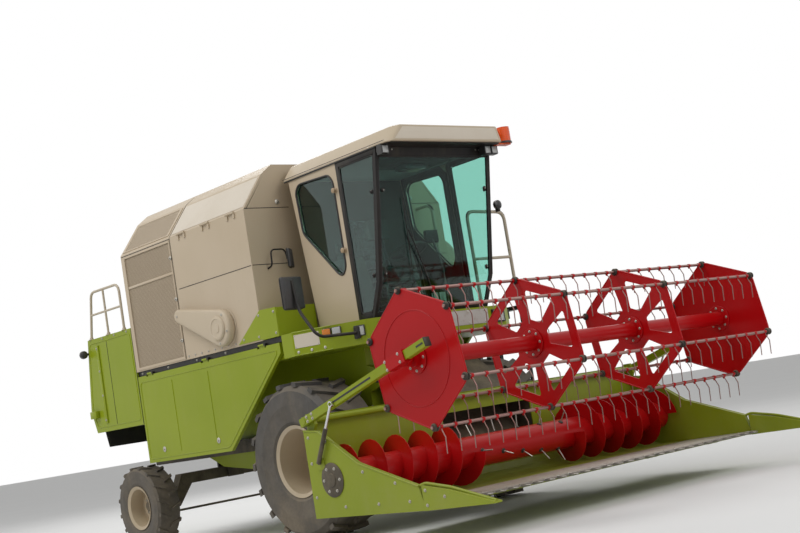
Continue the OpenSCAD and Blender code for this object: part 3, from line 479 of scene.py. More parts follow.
def makePaintGroup():
    # sprayed paint: slow colour drift, faded patches, hairline scratches, chips and orange peel
    tree, w, given, result = newGroup("sprayPaint", {"Vector": "Vector", "Paint": "Color", "Faded": "Color",
        "Bare": "Color", "Chips": "Float"}, {"Color": "Color", "Chipped": "Float", "Height": "Float"})
    at = given["Vector"]
    drift = w.span(w.noise(at, 0.8, 3.0, 0.5), 0.3, 0.7)
    color = w.mix(w.times(drift, 0.75), given["Paint"], given["Faded"])
    speck = w.span(w.noise(at, 55.0, 2.0, 0.5), 0.55, 0.8, 0.0, 0.16)
    color = w.mix(speck, color, given["Faded"])
    scratch = w.span(w.noise(w.stretch(at, (3.0, 3.0, 90.0)), 1.0, 2.0, 0.5), 0.74, 0.8)
    chip = w.span(w.noise(at, 21.0, 4.0, 0.7), 0.7, 0.76)
    worn = w.clamp(w.times(w.plus(w.times(scratch, 0.5), chip), given["Chips"]))
    color = w.mix(worn, color, given["Bare"])
    height = w.plus(w.noise(at, 1.6, 1.0, 0.4), w.times(w.noise(at, 420.0, 1.0, 0.5), 0.012))
    height = w.sums("SUBTRACT", height, w.times(worn, 0.02))
    w.feed(result, Color=color, Chipped=worn, Height=height)
    return tree


def makeGrainGroup():
    # moulded grain of plastic and rubber
    tree, w, given, result = newGroup("mouldGrain", {"Vector": "Vector", "Scale": "Float"},
        {"Height": "Float", "Shade": "Float"})
    cells = w.add("TexVoronoi", feature="SMOOTH_F1")
    w.feed(cells, Vector=given["Vector"], Scale=given["Scale"])
    slow = w.span(w.noise(given["Vector"], 6.0, 4.0, 0.6), 0.3, 0.7)
    w.feed(result, Height=cells.outputs[0], Shade=slow)
    return tree


dustGroup = makeDustGroup()
paintGroup = makePaintGroup()
grainGroup = makeGrainGroup()
dustColor = (0.44, 0.36, 0.24, 1)


def newMaterial(name="finish"):
    material = bpy.data.materials.new(name)
    material.use_nodes = True
    w = Wiring(material.node_tree)
    return material, w, w.tree.nodes["Principled BSDF"], w.add("TexCoord").outputs["Object"]


def paint(paint, faded, rough=0.36, coat=0.12, dust=0.5, low=1.2, streaks=0.3, chips=0.2,
        bare=(0.2, 0.19, 0.18, 1), wave=0.004):
    material, w, shader, at = newMaterial()
    film = w.group(paintGroup, Vector=at, Paint=(*paint, 1), Faded=(*faded, 1), Bare=bare, Chips=chips)
    dirt = w.dust(at, dust, low, streaks)
    w.feed(shader, **{"Base Color": w.mix(dirt, film["Color"], dustColor),
        "Roughness": w.span(w.plus(dirt, w.times(film["Chipped"], 0.5)), 0.0, 1.0, rough, 0.85),
        "Coat Weight": w.span(dirt, 0.0, 0.6, coat, 0.0), "Coat Roughness": 0.12, "Specular IOR Level": 0.2})
    w.bump(shader, film["Height"], 0.35, wave)
    return material


def plastic(color, rough=0.45, dust=0.25, pale=1.6):
    material, w, shader, at = newMaterial()
    grain = w.group(grainGroup, Vector=at, Scale=350.0)
    dirt = w.dust(at, dust, 0.8, 0.1)
    light = [min(1, c * pale + 0.01) for c in color]
    shade = w.mix(w.times(grain["Shade"], 0.5), (*color, 1), (*light, 1))
    w.feed(shader, **{"Base Color": w.mix(dirt, shade, dustColor),
        "Roughness": w.span(dirt, 0.0, 1.0, rough, 0.9)})
    w.bump(shader, grain["Height"], 0.4, 0.0004)
    return material


def metal(color, rough=0.3, brushed=(4.0, 60.0, 60.0), dust=0.2, rust=0.15):
    material, w, shader, at = newMaterial()
    grain = w.noise(w.stretch(at, brushed), 8.0, 3.0, 0.6)
    rusty = w.times(w.span(w.noise(at, 14.0, 5.0, 0.7), 0.52, 0.72), rust)
    dirt = w.dust(at, dust, 0.7, 0.2)
    tone = w.mix(w.span(grain, 0.3, 0.7, 0.0, 0.35), (*color, 1), (*[c * 0.6 for c in color], 1))
    tone = w.mix(rusty, tone, (0.2, 0.09, 0.04, 1))
    cover = w.clamp(w.plus(dirt, rusty))
    w.feed(shader, **{"Base Color": w.mix(dirt, tone, dustColor),
        "Metallic": w.span(cover, 0.0, 1.0, 1.0, 0.1),
        "Roughness": w.span(w.plus(cover, w.times(grain, 0.3)), 0.0, 1.2, rough, 0.85)})
    w.bump(shader, grain, 0.15, 0.0005)
    return material


def glass(color):
    material, w, shader, at = newMaterial()
    haze = w.span(w.dust(at, 0.10, 2.3, 0.25), 0.0, 1.0, 0.02, 0.5)
    w.feed(shader, **{"Roughness": haze, "Base Color": (*color, 1), "Transmission Weight": 1.0, "IOR": 1.45})
    return material


def rubber(color=(0.028, 0.027, 0.026), dust=0.7, low=1.7):
    material, w, shader, at = newMaterial()
    grain = w.group(grainGroup, Vector=at, Scale=120.0)
    dirt = w.dust(at, dust, low, 0.3)
    shade = w.mix(grain["Shade"], (*color, 1), (*[c * 2.2 for c in color], 1))
    w.feed(shader, **{"Base Color": w.mix(w.times(dirt, 0.75), shade, (0.30, 0.24, 0.165, 1)),
        "Roughness": w.span(dirt, 0.0, 1.0, 0.62, 0.95)})
    w.bump(shader, grain["Height"], 0.35, 0.001)
    return material


def perforated():
    # sheet with rows of small round holes, staggered
    material, w, shader, at = newMaterial()
    cells = w.add("TexVoronoi", feature="F1", voronoi_dimensions="3D")
    w.feed(cells, Vector=w.stretch(at, (1.0, 0.0001, 1.0)), Scale=72.0, Randomness=0.0)
    holes = w.span(cells.outputs[0], 0.30, 0.40, 1.0, 0.0)
    dirt = w.dust(at, 0.55, 2.6, 0.5)
    plate = w.mix(dirt, (0.42, 0.34, 0.24, 1), (0.50, 0.41, 0.29, 1))
    w.feed(shader, **{"Base Color": w.mix(holes, plate, (0.20, 0.15, 0.10, 1)),
        "Roughness": w.span(holes, 0.0, 1.0, 0.5, 0.95), "Metallic": w.span(dirt, 0.0, 1.0, 0.35, 0.0)})
    w.bump(shader, w.span(holes, 0.0, 1.0, 1.0, 0.0), 0.6, 0.002)
    return material


def cloth(color, thread):
    material, w, shader, at = newMaterial()
    weave = w.plus(w.times(w.wave(at, "X"), w.wave(at, "Z")), w.times(w.wave(at, "Y"), 0.5))
    wear = w.span(w.noise(at, 7.0, 4.0, 0.6), 0.35, 0.75)
    w.feed(shader, **{"Base Color": w.mix(weave, (*color, 1), (*thread, 1)),
        "Roughness": w.span(wear, 0.0, 1.0, 0.8, 0.95), "Sheen Weight": 0.3, "Sheen Roughness": 0.5})
    w.bump(shader, weave, 0.5, 0.0008)
    return material


def lens(color, clear):
    # moulded lens with fine ribs
    material, w, shader, at = newMaterial()
    haze = w.span(w.noise(at, 30.0, 3.0, 0.6), 0.3, 0.7, 0.08, 0.25)
    w.feed(shader, **{"Roughness": haze, "Base Color": (*color, 1), "Transmission Weight": clear,
        "IOR": 1.49})
    w.bump(shader, w.wave(at, "Y", 40.0, 0.0), 0.5, 0.002)
    return material


green = ((0.235, 0.300, 0.004), (0.29, 0.35, 0.014))
cream = ((0.50, 0.405, 0.285), (0.56, 0.465, 0.345))
mouldedCream = ((0.52, 0.43, 0.31), (0.58, 0.49, 0.37))
red = ((0.43, 0.0, 0.002), (0.49, 0.003, 0.005))
frameBlack = ((0.022, 0.021, 0.020), (0.045, 0.04, 0.036))
trimBlack = ((0.014, 0.013, 0.013), (0.026, 0.024, 0.022))
pale = ((0.63, 0.56, 0.46), (0.69, 0.62, 0.52))
railPaint = ((0.50, 0.43, 0.33), (0.58, 0.51, 0.41))
materials = {
    "body_green": paint(*green, dust=0.18, low=1.5),
    "body_cream": paint(*cream, dust=0.36, low=2.4, streaks=0.4, chips=0.12),
    "moulded_cream": paint(*mouldedCream, rough=0.4, coat=0.08, dust=0.30, low=0.5, chips=0.05, wave=0.001),
    "reel_red": paint(*red, rough=0.34, coat=0.08, dust=0.04, low=0.9, streaks=0.15, chips=0.25,
        bare=(0.22, 0.12, 0.10, 1), wave=0.002),
    "chassis_black": paint(*frameBlack, rough=0.5, coat=0.0, dust=0.5, low=1.6),
    "trim_black": paint(*trimBlack, rough=0.42, coat=0.1, dust=0.25, low=0.8),
    "screen_bronze": perforated(),
    "engine_grey": metal((0.10, 0.10, 0.105), rough=0.5, dust=0.6, rust=0.4),
    "tinted_glass": glass((0.50, 0.80, 0.72)),
    "cab_plastic": plastic((0.020, 0.019, 0.020)),
    "seat_fabric": cloth((0.03, 0.03, 0.034), (0.10, 0.10, 0.11)),
    "lamp_housing": plastic((0.018, 0.018, 0.018), rough=0.35),
    "beacon_amber": lens((1.0, 0.13, 0.005), 0.4),
    "bare_steel": metal((0.42, 0.40, 0.37), rust=0.3),
    "chrome_rod": metal((0.74, 0.74, 0.75), rough=0.1, dust=0.08, rust=0.0),
    "tyre_rubber": rubber(),
    "rim_cream": paint(*cream, dust=0.6, low=1.3, chips=0.3),
    "rubberSeal": rubber((0.012, 0.012, 0.012), dust=0.25, low=0.6),
    "zincBolt": metal((0.50, 0.48, 0.43), rough=0.35, dust=0.25, rust=0.2),
    "mirrorGlass": metal((0.80, 0.82, 0.84), rough=0.03, brushed=(1.0, 1.0, 1.0), dust=0.1, rust=0.0),
    "clearLens": lens((0.88, 0.90, 0.88), 0.45),
    "amberLens": lens((1.0, 0.30, 0.02), 0.35),
    "redLens": lens((0.65, 0.01, 0.01), 0.35),
    # dark plastic; on the cab's inner walls this finish is painted shade
    "cabLining": plastic((0.030, 0.029, 0.028), rough=0.7, dust=0.1, pale=1.3),
    "ceilingCloth": cloth((0.05, 0.048, 0.045), (0.08, 0.077, 0.072)),
    "screenGrey": plastic((0.05, 0.055, 0.06), rough=0.15, dust=0.05),
    "tanPlastic": plastic((0.36, 0.26, 0.16), rough=0.5, dust=0.15, pale=1.2),
    "paleCream": paint(*pale, dust=0.30, low=0.5, chips=0.05, wave=0.001),
    "railBeige": paint(*railPaint, rough=0.4, coat=0.1, dust=0.3, low=1.0, chips=0.4),
    "wornBar": metal((0.36, 0.22, 0.20), rough=0.35, brushed=(60.0, 2.0, 60.0), dust=0.25, rust=0.35),
    "wornFloor": metal((0.46, 0.44, 0.40), rough=0.25, brushed=(3.0, 70.0, 3.0), dust=0.35, rust=0.35),
}
for key, material in materials.items():
    head, *rest = key.split("_")
    material.name = head + "".join(word.capitalize() for word in rest)
# nodes that look unlike their slot's plain finish
ownFinish = {"rear_rails": "railBeige", "reel_bars": "wornBar"}
slotOf = {part["node"]: part["material_slot"] for part in frame["record"]["subparts"]}
for nodeName, node in nodes.items():
    node.data.materials.clear()
    node.data.materials.append(materials[ownFinish.get(nodeName, slotOf[nodeName])])
print("materials done:", len(materials))


# the cab's outlines in side view, from its front pillars to its windows
cab = {"right": -0.9, "left": 0.68, "wall": 0.03, "foot": 2.082, "head": 3.7195}
screenEdge = [(0.88, 2.08), (1.04, 2.41), (1.16, 3.01), (1.3, 3.72)]
windowCorners = [(-0.07, 3.57), (0, 3.64), (0.51, 3.62), (0.57, 3.54), (0.57, 2.66), (0.51, 2.58),
    (0.44, 2.6), (-0.045, 3.12)]
# outline of the dark sheet on the cab's inner walls round the windows: painted shade where the cream inside
# lies in shadow
shadeLiningCorners = [(-0.11, 3.59), (-0.121, 3.705), (0.54, 3.705), (0.634, 3.6), (0.634, 2.3), (0.634, 2.122),
    (0.036, 2.122), (-0.064, 3.12)]


def screenX(z):
    # how far forward the windscreen's edge stands at a height
    for (x0, z0), (x1, z1) in zip(screenEdge, screenEdge[1:]):
        if z <= z1:
            return x0 + (x1 - x0) * (z - z0) / (z1 - z0)
    return screenEdge[-1][0]


def makeCabFrame():
    # black frame round the windscreen and the corner panes
    bar = {"deep": 0.04, "wide": 0.036, "proud": 0.003, "round": 0.003}
    foot, head, rounding = cab["foot"], cab["head"], bar["round"]
    bars = []
    for side, name in bothSides:
        outer = cab[name] + side * bar["proud"]
        inner = outer - side * bar["wide"]
        edge = atWall(outer, [(x + bar["proud"], z) for x, z in screenEdge])
        back = atWall(outer, [(x - bar["deep"], z) for x, z in reversed(screenEdge)])
        bars.append(panel("pillar", edge + back, (0, -side * bar["wide"], 0), rounding))
        bars.append(block("topRail", spot(0.684, outer, 3.655), spot(1.262, inner, head), rounding))
        bars.append(block("footRail", spot(0.684, outer, foot), spot(0.862, inner, 2.14), rounding))
    for x, y0, y1 in ((0.6405, -0.903, -0.867), (0.646, 0.645, 0.6805)):
        bars.append(block("post", spot(x, y0, foot), spot(0.69, y1, head), rounding))
    for low, high in ((3.628, head), (foot, 2.126)):
        section = ((low, 0.004), (high, 0.004), (high, -0.032), (low, -0.032))
        section = atWall(-0.874, [(screenX(z) + off, z) for z, off in section])
        bars.append(panel("crossBand", section, (0, 1.528, 0), rounding))
    settle(joined(bars, "cabFrame"), "trim_black")
    for pane, name in ((-0.893, "Right"), (0.673, "Left")):
        corners = [(0.694, 2.146), (0.694, 3.648)]
        corners += [(screenX(z) - 0.05, z) for z in (3.648, 3.01, 2.41, 2.146)]
        sealRing("cornerSeal" + name, atWall(pane, corners), 0.03, 0.007)
    rim = [(screenX(z) - 0.004, z) for z in (2.132, 2.41, 3.01, 3.622)]
    sealRing("screenSeal", atWall(-0.862, rim) + atWall(0.642, reversed(rim)), 0.03, 0.008)


def makeCabTrim():
    catch = [(0.03, 0), (0.03, 0.005), (0.024, 0.01), (0.014, 0.012), (0.014, 0.024), (0.026, 0.027),
        (0.027, 0.038), (0.02, 0.043), (0.006, 0.044)]
    clamp = [(0.021, 0), (0.022, 0.007), (0.017, 0.012), (0.012, 0.014), (0.01, 0.019), (0.004, 0.02)]
    for side, edge, body, name in ((-1, "right", "chassis", "right"), (1, "left", "cab_door", "door")):
        wall = cab[edge]
        inner = wall - side * cab["wall"]
        for part, y, thick in (("", wall + side * 0.002, 0.011), ("Inside", inner - side * 0.012, 0.009)):
            sealRing(name + "WindowSeal" + part, atWall(y, windowCorners), 0.06, thick, body=body)
        # dark sheet round each window on the wall's inner face: painted shade where the cream inside lies in
        # shadow
        shadeLining = rimPanel(name + "Lining", atWall(inner, shadeLiningCorners), atWall(inner, windowCorners),
            (0, -side * 0.01, 0))
        settle(shadeLining, *darkPlasticAndShade, body)
        # round catches and clamps that hold the panes
        knobs(name + "PaneCatches", catch, atWall(wall, ((0.59, 3.44), (0.59, 2.82))), (0, side, 0),
            "cab_plastic", "tanPlastic", body)
        for part, ahead, inward, facing in (("Pane", 0.085, 0.008, (0, side, 0)),
                ("Screen", 0.008, 0.085, (1, 0, -0.2))):
            places = atWall(wall - side * inward, [(screenX(z) - ahead, z) for z in (3.3, 2.49)])
            knobs(name + part + "Clamps", clamp, places, facing, "trim_black", sides=16)
        bolts(name + "ClampScrews", [place + Vector((0.018, 0, -0.004)) for place in places], facing, 0.005)
    ceiling = atHeight(3.7, ((-0.132, -0.858), (1.24, -0.858), (1.24, 0.64), (-0.132, 0.64)))
    sheet("headliner", ceiling, (0, 0, 0.017), 0.006, "cab_plastic", "ceilingCloth", steps=2)
    # dark sheet on the rear wall's inner face: painted shade on the inside of the cab
    rear = spots((0.021, -0.858, 2.122), (0.021, 0.64, 2.122), (-0.136, 0.64, 3.697), (-0.136, -0.858, 3.697))
    sheet("rearLining", rear, (0.012, 0, 0.001), 0.004, *darkPlasticAndShade, steps=2)
    mat = atHeight(2.1105, ((0.036, -0.858), (0.845, -0.858), (0.845, 0.64), (0.036, 0.64)))
    sheet("floorMat", mat, (0, 0, 0.008), 0.003, "cab_plastic", "rubberSeal", steps=2)
    slab("ceilingConsole", (0.7, -0.45, 3.615), (1.14, 0.25, 3.702), 0.03, *darkPlasticAndShade, steps=4)
    vent = [(0.036, 0), (0.038, 0.006), (0.03, 0.009), (0.024, 0.006), (0.006, 0.008)]
    places = [spot(0.92, y, 3.616) for y in (-0.36, -0.24, 0.04, 0.16)]
    knobs("ceilingVents", vent, places, (0, 0, -1), "cab_plastic", "trim_black")
    edge = atWall(0.653, ((-0.124, 3.708), (0.634, 3.708), (0.634, 2.12), (0.034, 2.12)))
    sealRing("doorEdgeSeal", edge, 0.03, 0.006, body="cab_door")
    grip = spots((0.045, 0.68, 2.66), (0.045, 0.728, 2.66), (0.03, 0.728, 2.84), (0.03, 0.68, 2.84))
    tube("doorGrip", grip, 0.011, 0.03, "trim_black", body="cab_door")
    slab("doorLockPlate", (0.018, 0.679, 2.6), (0.076, 0.686, 2.9), 0.004, "trim_black", body="cab_door")
    lock = [(0.016, 0), (0.017, 0.004), (0.012, 0.007), (0.003, 0.0075)]
    knobs("doorLock", lock, [spot(0.052, 0.686, 2.75)], across, *zinced, "cab_door")


def makeControls():
    # side console with its levers, dashboard, display and the wheel's cap
    hub, tilt = spot(0.64, -0.11, 2.76), math.radians(18)
    cap = [(0.052, -0.02), (0.06, 0), (0.056, 0.016), (0.036, 0.026), (0.006, 0.029)]
    knobs("wheelCap", cap, [hub], (-math.sin(tilt), 0, math.cos(tilt)), *darkPlasticAndShade, sides=28)
    tipped = Matrix.Rotation(-tilt, 4, "Y")
    wire("wheelGrip", [hub + tipped @ point for point in ringOf(origin, 0.2, 48, flat=True)], 0.0155, *darkPlasticAndShade,
        closed=True, sides=5, angle=60)
    boot = [(0.12, 0), (0.118, 0.03), (0.09, 0.07), (0.074, 0.1), (0.08, 0.115), (0.062, 0.15),
        (0.066, 0.165), (0.05, 0.21)]
    foot = spot(0.77, -0.11, 2.116)
    knobs("columnBoot", boot, [foot], (-0.21, 0, 1), "cab_plastic", "rubberSeal", sides=28)
    console = loft("sideConsole", atHeight(2.118, ((0.1, -0.85), (0.62, -0.85), (0.62, -0.56), (0.1, -0.56))),
        atHeight(2.76, ((0.06, -0.85), (0.58, -0.85), (0.5, -0.58), (0.06, -0.58))), 0.03, 4)
    settle(console, *darkPlasticAndShade)
    knob = [(0.014, 0), (0.02, 0.02), (0.022, 0.05), (0.018, 0.085), (0.008, 0.096)]
    for label, x, y, lean, tall in (("driveLever", 0.46, -0.66, 0.05, 0.26),
            ("reelLever", 0.34, -0.7, 0.02, 0.14), ("throttle", 0.3, -0.79, 0.03, 0.12)):
        stick = rod("stick", spot(x, y, 2.74), spot(x + lean, y, 2.74 + tall), 0.007, 12)
        grip = turned("grip", knob, spot(x + lean, y, 2.72 + tall), (lean, 0, tall), 16)
        settle(joined([stick, grip], label), "cab_plastic")
    gauge = spots((0.8, -0.78, 2.86), (0.88, -0.78, 2.87), (0.88, -0.52, 2.87), (0.8, -0.52, 2.86))
    sheet("gaugeBox", gauge, (-0.03, 0, 0.2), 0.012, *darkPlasticAndShade, steps=3)
    face = spots((0.7915, -0.76, 2.885), (0.7915, -0.54, 2.885), (0.7735, -0.54, 3.035),
        (0.7735, -0.76, 3.035))
    sheet("gaugeGlass", face, (-0.004, 0, 0), 0.002, "cab_plastic", "screenGrey")
    tube("gaugeStem", atWall(-0.65, ((0.85, 2.118), (0.85, 2.5), (0.84, 2.87))), 0.018, 0.06, "cab_plastic")
    box = atFront(0.7, ((0.09, 2.82), (0.27, 2.82), (0.27, 2.955), (0.09, 2.955)))
    sheet("displayBox", box, (0.045, 0, 0.01), 0.012, "cab_plastic", "trim_black", steps=3)
    face = atFront(0.699, ((0.104, 2.834), (0.256, 2.834), (0.256, 2.941), (0.104, 2.941)))
    sheet("displayGlass", face, (-0.002, 0, 0), 0.001, "cab_plastic", "screenGrey")
    tube("displayStem", atWall(0.18, ((0.82, 2.118), (0.82, 2.6), (0.735, 2.86))), 0.014, 0.1, "cab_plastic")
    slab("radio", (0.86, -0.3, 3.56), (1.04, -0.02, 3.612), 0.006, "cab_plastic", "screenGrey")
    rows = (-0.33, 0.01, 0.12)
    pedals = [block("pedal", spot(0.76, y, 2.15), spot(0.776, y + 0.09, 2.29), 0.006) for y in rows]
    settle(joined(pedals, "pedals"), "bare_steel")
    arms = [rod("pedalArm", spot(0.768, y + 0.045, 2.2), spot(0.83, y + 0.045, 2.12), 0.009, 10)
        for y in rows]
    settle(joined(arms, "pedalArms"), "chassis_black")


def makeSeat():
    # sprung seat: base, bellows, padded cushion and back with sewn channels
    seat = {"cap": 0.022, "voxel": 0.006, "fill": 0.6, "column": spot(0.22, -0.11, 2.19)}
    base = block("seatBase", spot(0.06, -0.26, 2.118), spot(0.38, 0.04, 2.19), 0.01)
    folds = [(0.15, 0)]
    for k in range(6):
        folds += [(0.16, 0.016 + 0.042 * k), (0.136, 0.037 + 0.042 * k)]
    bellows = turned("bellows", folds, sides=4)
    bellows.matrix_world = Matrix.Translation(seat["column"]) @ Matrix.Rotation(math.radians(45), 4, "Z")
    settle(bellows, "cab_plastic", "rubberSeal")
    pan = block("seatPan", spot(0.01, -0.34, 2.445), spot(0.47, 0.12, 2.52), 0.02, 3)
    settle(joined([base, pan], "seatBaseAndPan"), "cab_plastic")
    cushion = block("seatCushion", spot(0.018, -0.332, 2.53), spot(0.462, 0.112, 2.622), 0.03, 4)
    corners = atWall(-0.334, ((0.036, 2.66), (0.114, 2.66), (0.046, 3.24), (-0.026, 3.24)))
    lean, backward = Vector((-0.11, 0, 1)).normalized(), (0.993, 0, 0.11)
    channels = [(spot(x, 0, 2.63), (1, 0, 0), upward) for x in (0.14, 0.24, 0.34)]
    channels += [(spot(0, y, 2.63), across, upward) for y in (-0.25, 0.03)]
    sewn(swell(cushion, seat["cap"], seat["voxel"]), channels)
    settle(cushion, "seat_fabric", angle=60)
    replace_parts(cushion, "driver_seat")
    back = panel("seatBack", corners, (0, 0.448, 0), 0.03, 4)
    channels = [(spot(0.1, 0, z), lean, backward) for z in (2.78, 2.9, 3.02, 3.14)]
    channels += [(spot(0.1, y, 3), across, backward) for y in (-0.25, 0.03)]
    sewn(swell(back, seat["cap"], seat["voxel"]), channels)
    settle(back, "seat_fabric", angle=60)
    shell = atWall(-0.32, ((0, 2.56), (0.03, 2.56), (-0.03, 3.2), (-0.052, 3.2)))
    sheet("seatBackShell", shell, (0, 0.42, 0), 0.012, "cab_plastic", steps=3)
    pads = [block("armPad", spot(0.04, y, 2.75), spot(0.33, y + 0.05, 2.8), 0.014, 3)
        for y in (-0.404, 0.134)]
    stays = [rod("armStay", spot(0.03, y, 2.6), spot(0.06, y, 2.76), 0.011, 12) for y in (-0.37, 0.15)]
    settle(joined(pads + stays, "armRests"), *darkPlasticAndShade)


def makeRoof():
    # moulded roof with cut front corners, black below, and the edge of its front face
    low = ((-0.25, -0.92), (1.46, -0.92), (1.53, -0.865), (1.53, 0.645), (1.46, 0.7), (-0.25, 0.7))
    high = ((-0.25, -0.78), (1.44, -0.78), (1.518, -0.725), (1.518, 0.61), (1.45, 0.66), (-0.25, 0.66))
    roof = loft("roofShell", atHeight(3.72, low), atHeight(3.89, high), 0.016, 4)
    settle(roof, "moulded_cream")
    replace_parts(roof, "cab_roof")
    under = ((1.306, -0.885), (1.306, 0.665), (1.452, 0.672), (1.504, 0.632), (1.504, -0.852),
        (1.452, -0.892))
    sheet("roofUnderside", atHeight(cab["head"], under), (0, 0, -0.009), 0.003, "trim_black")
    for x, y0, y1, name in ((-0.23, -0.915, -0.902, "right"), (0.72, 0.682, 0.695, "left")):
        slab(name + "RoofSeal", (x, y0, 3.706), (1.3, y1, cab["head"]), 0.003, *sealed)
    face = atFront(1.5305, ((-0.83, 3.742), (0.61, 3.742), (0.585, 3.868), (-0.7, 3.868)))
    plate = panel("roofFacePlate", face, (-0.01, 0, 0), 0.004, 2)
    for corner in plate.data.vertices:
        corner.co.x -= (corner.co.z - 3.742) * 0.07
    settle(plate, "moulded_cream", "paleCream")
    seams("roofSeam", [((-0.245, y, 3.742), (1.455, y, 3.742)) for y in (-0.9175, 0.6985)], 0.003)
    places = [spot(1.303, y, 3.69) for y in (-0.79, -0.74, -0.69, 0.47, 0.52, 0.57)]
    bolts("roofBolts", places, (1, 0, -0.2), 0.006)
    foot, tip = spot(screenX(2.16) + 0.01, -0.1, 2.15), spot(screenX(2.9) + 0.024, -0.52, 2.9)
    knees = [foot.lerp(tip, far) + Vector((out, 0, 0)) for far, out in ((0.25, 0.022), (0.8, 0.014))]
    arm = pipe("wiperArm", [foot, *knees, tip], 0.006, bend=True)
    route = [spot(screenX(z) + 0.006, -0.47 - 0.15 * (z - 2.55), z) for z in (2.55, 2.78, 3, 3.22)]
    blade = pipe("wiperBlade", route, 0.005, bend=True, sides=2)
    settle(joined([arm, blade], "wiper"), "trim_black")
    cap = [(0.024, 0), (0.024, 0.012), (0.016, 0.022), (0.004, 0.024)]
    knobs("wiperHub", cap, [foot - Vector((0.02, 0, 0))], (1, 0, 0.1), "trim_black")


def rectangle(a0, a1, b0, b1):
    return ((a0, b0), (a1, b0), (a1, b1), (a0, b1))


def baseAndLens(base, face, corners, out, deep, lift, cover, rounding, finish):
    # flat lamp: a dark base with these corners, its lens set in from the edge
    sheet(base, corners, out * deep, 0.004, "lamp_housing", steps=2)
    corners = [corner + out * lift for corner in corners]
    sheet(face, shrunk(corners, 0.14), out * cover, rounding, "lamp_housing", finish, steps=3)


def makeLamps():
    # rims and lenses of the lamps, on the front faces of their housings
    def lensOn(label, corners, push):
        settle(rimPanel(label + "Rim", corners, shrunk(corners, 0.16), push, 0.002), "lamp_housing")
        sheet(label + "Lens", shrunk(corners, 0.12), Vector(push) * 0.75, 0.003, "lamp_housing",
            "clearLens", steps=2)

    for y, name in ((-0.915, "rightWork"), (0.5, "leftWorkInner"), (0.6, "leftWorkOuter")):
        lensOn(name, atFront(1.4, rectangle(y + 0.002, y + 0.088, 3.624, 3.706)), (0.014, 0, 0))
        slab(name + "Back", (1.3, y + 0.015, 3.64), (1.332, y + 0.075, 3.7), 0.01, "lamp_housing", steps=3)
        slab(name + "Foot", (1.35, y + 0.035, 3.7), (1.38, y + 0.055, 3.722), 0.002, "chassis_black")
    for side, name in bothSides:
        corners = atFront(0.915, rectangle(side * 0.704, side * 0.876, 1.904, 2.036))
        lensOn(name + "Head", corners, (0.012, 0, 0))
        # turn lamp folded round the platform's corner, amber behind and clear in front
        knee = Vector((0.55, side * 1.2))

        def faceOf(way, near, far, foot, top):
            # an upright outline along one face from the knee, and the way that face looks
            out = Vector((way.y, -way.x, 0))
            out = out if out.y * side > 0 else -out
            a, b = knee + way * near, knee + way * far
            return spots((*a, foot), (*b, foot), (*b, top), (*a, top)), out

        rear, front = Vector((-0.8944, side * 0.4472)), Vector((0.832, -side * 0.5547))
        top, foot = (2.056, 1.982) if side < 0 else (2.01, 1.936)
        for way, finish, reach in ((rear, "amberLens", 0.105), (front, "clearLens", 0.1)):
            corners, out = faceOf(way, 0.004, reach, foot, top)
            label = name + finish
            baseAndLens(label + "Base", label, corners, out, 0.016, 0.014, 0.012, 0.005, finish)
        # marker lamp at the front end of the same face
        corners, out = faceOf(front, 0.235, 0.345, 1.925, 2.03)
        lensOn(name + "Marker", corners, out * 0.02)
    ring = [(0.076, 0), (0.078, 0.01), (0.074, 0.02), (0.069, 0.024)]
    knobs("beaconBase", ring, [spot(1.44, 0.785, 3.721)], upward, "lamp_housing", sides=36)
    bands = [pipe("band", ringOf(spot(1.44, 0.785, z), 0.068, 36, flat=True), 0.0022, True, sides=2)
        for z in (3.765, 3.785, 3.805, 3.825, 3.845, 3.865)]
    settle(joined(bands, "beaconBands"), "beacon_amber")


def makeMirrors():
    # mirror on its bent arm on the right, and a small one over the wheel
    def mirror(label, centre, half, facing):
        facing = Vector(facing).normalized()
        wide, tall = facing.cross(Vector(upward)).normalized() * half[0], Vector(upward) * half[1]
        corners = [centre + wide * a + tall * b for a, b in rectangle(-1, 1, -1, 1)]
        shell = sheet(label + "Shell", corners, -facing * 0.034, 0.012, "trim_black", "cab_plastic", steps=3)
        wire(label + "Rim", roundedRoute(corners, 0.03, 4, True), 0.006, *sealed, closed=True, angle=35)
        pane = [c.lerp(centre, 0.07) + facing * 0.0005 for c in corners]
        sheet(label + "Glass", pane, facing * 0.002, 0.001, "trim_black", "mirrorGlass")
        return shell

    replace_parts(mirror("rightMirror", spot(0.486, -1.575, 2.44), (0.135, 0.16), (-1, -0.12, 0)), "mirrors")
    arm = spots((0.77, -1.064, 1.96), (0.77, -1.5, 1.96))
    arm += atWall(-1.575, ((0.77, 2), (0.56, 2.26), (0.52, 2.56)))
    tube("rightMirrorArm", arm, 0.016, 0.08, "trim_black")
    arch = spots((-0.349, -1.199, 2.822), (-0.27, -1.199, 2.84), (-0.27, -1.19, 3.01), (-0.27, -1.01, 3.01),
        (-0.265, -0.995, 2.9))
    tube("smallMirrorArm", arch, 0.009, 0.05, "trim_black")
    mirror("smallMirror", spot(-0.25, -0.985, 2.905), (0.075, 0.1), (-0.75, -0.66, 0))
    slab("rightMirrorFoot", (0.735, -1.078, 1.9), (0.805, -1.045, 2.02), 0.006, "trim_black")


makeCabFrame()
makeCabTrim()
makeControls()
makeSeat()
makeRoof()
makeLamps()
makeMirrors()
print("cab done")

shellWall = 1.4  # half the width of the body's side walls


def bevelPoint(x, t, side, proud=0.0):
    # a place on the shell's upper bevel, from its lower edge (0) to its knee (1)
    return spot(x, side * (shellWall - 0.29 * t + 0.787 * proud), 3.47 + 0.37 * t + 0.617 * proud)


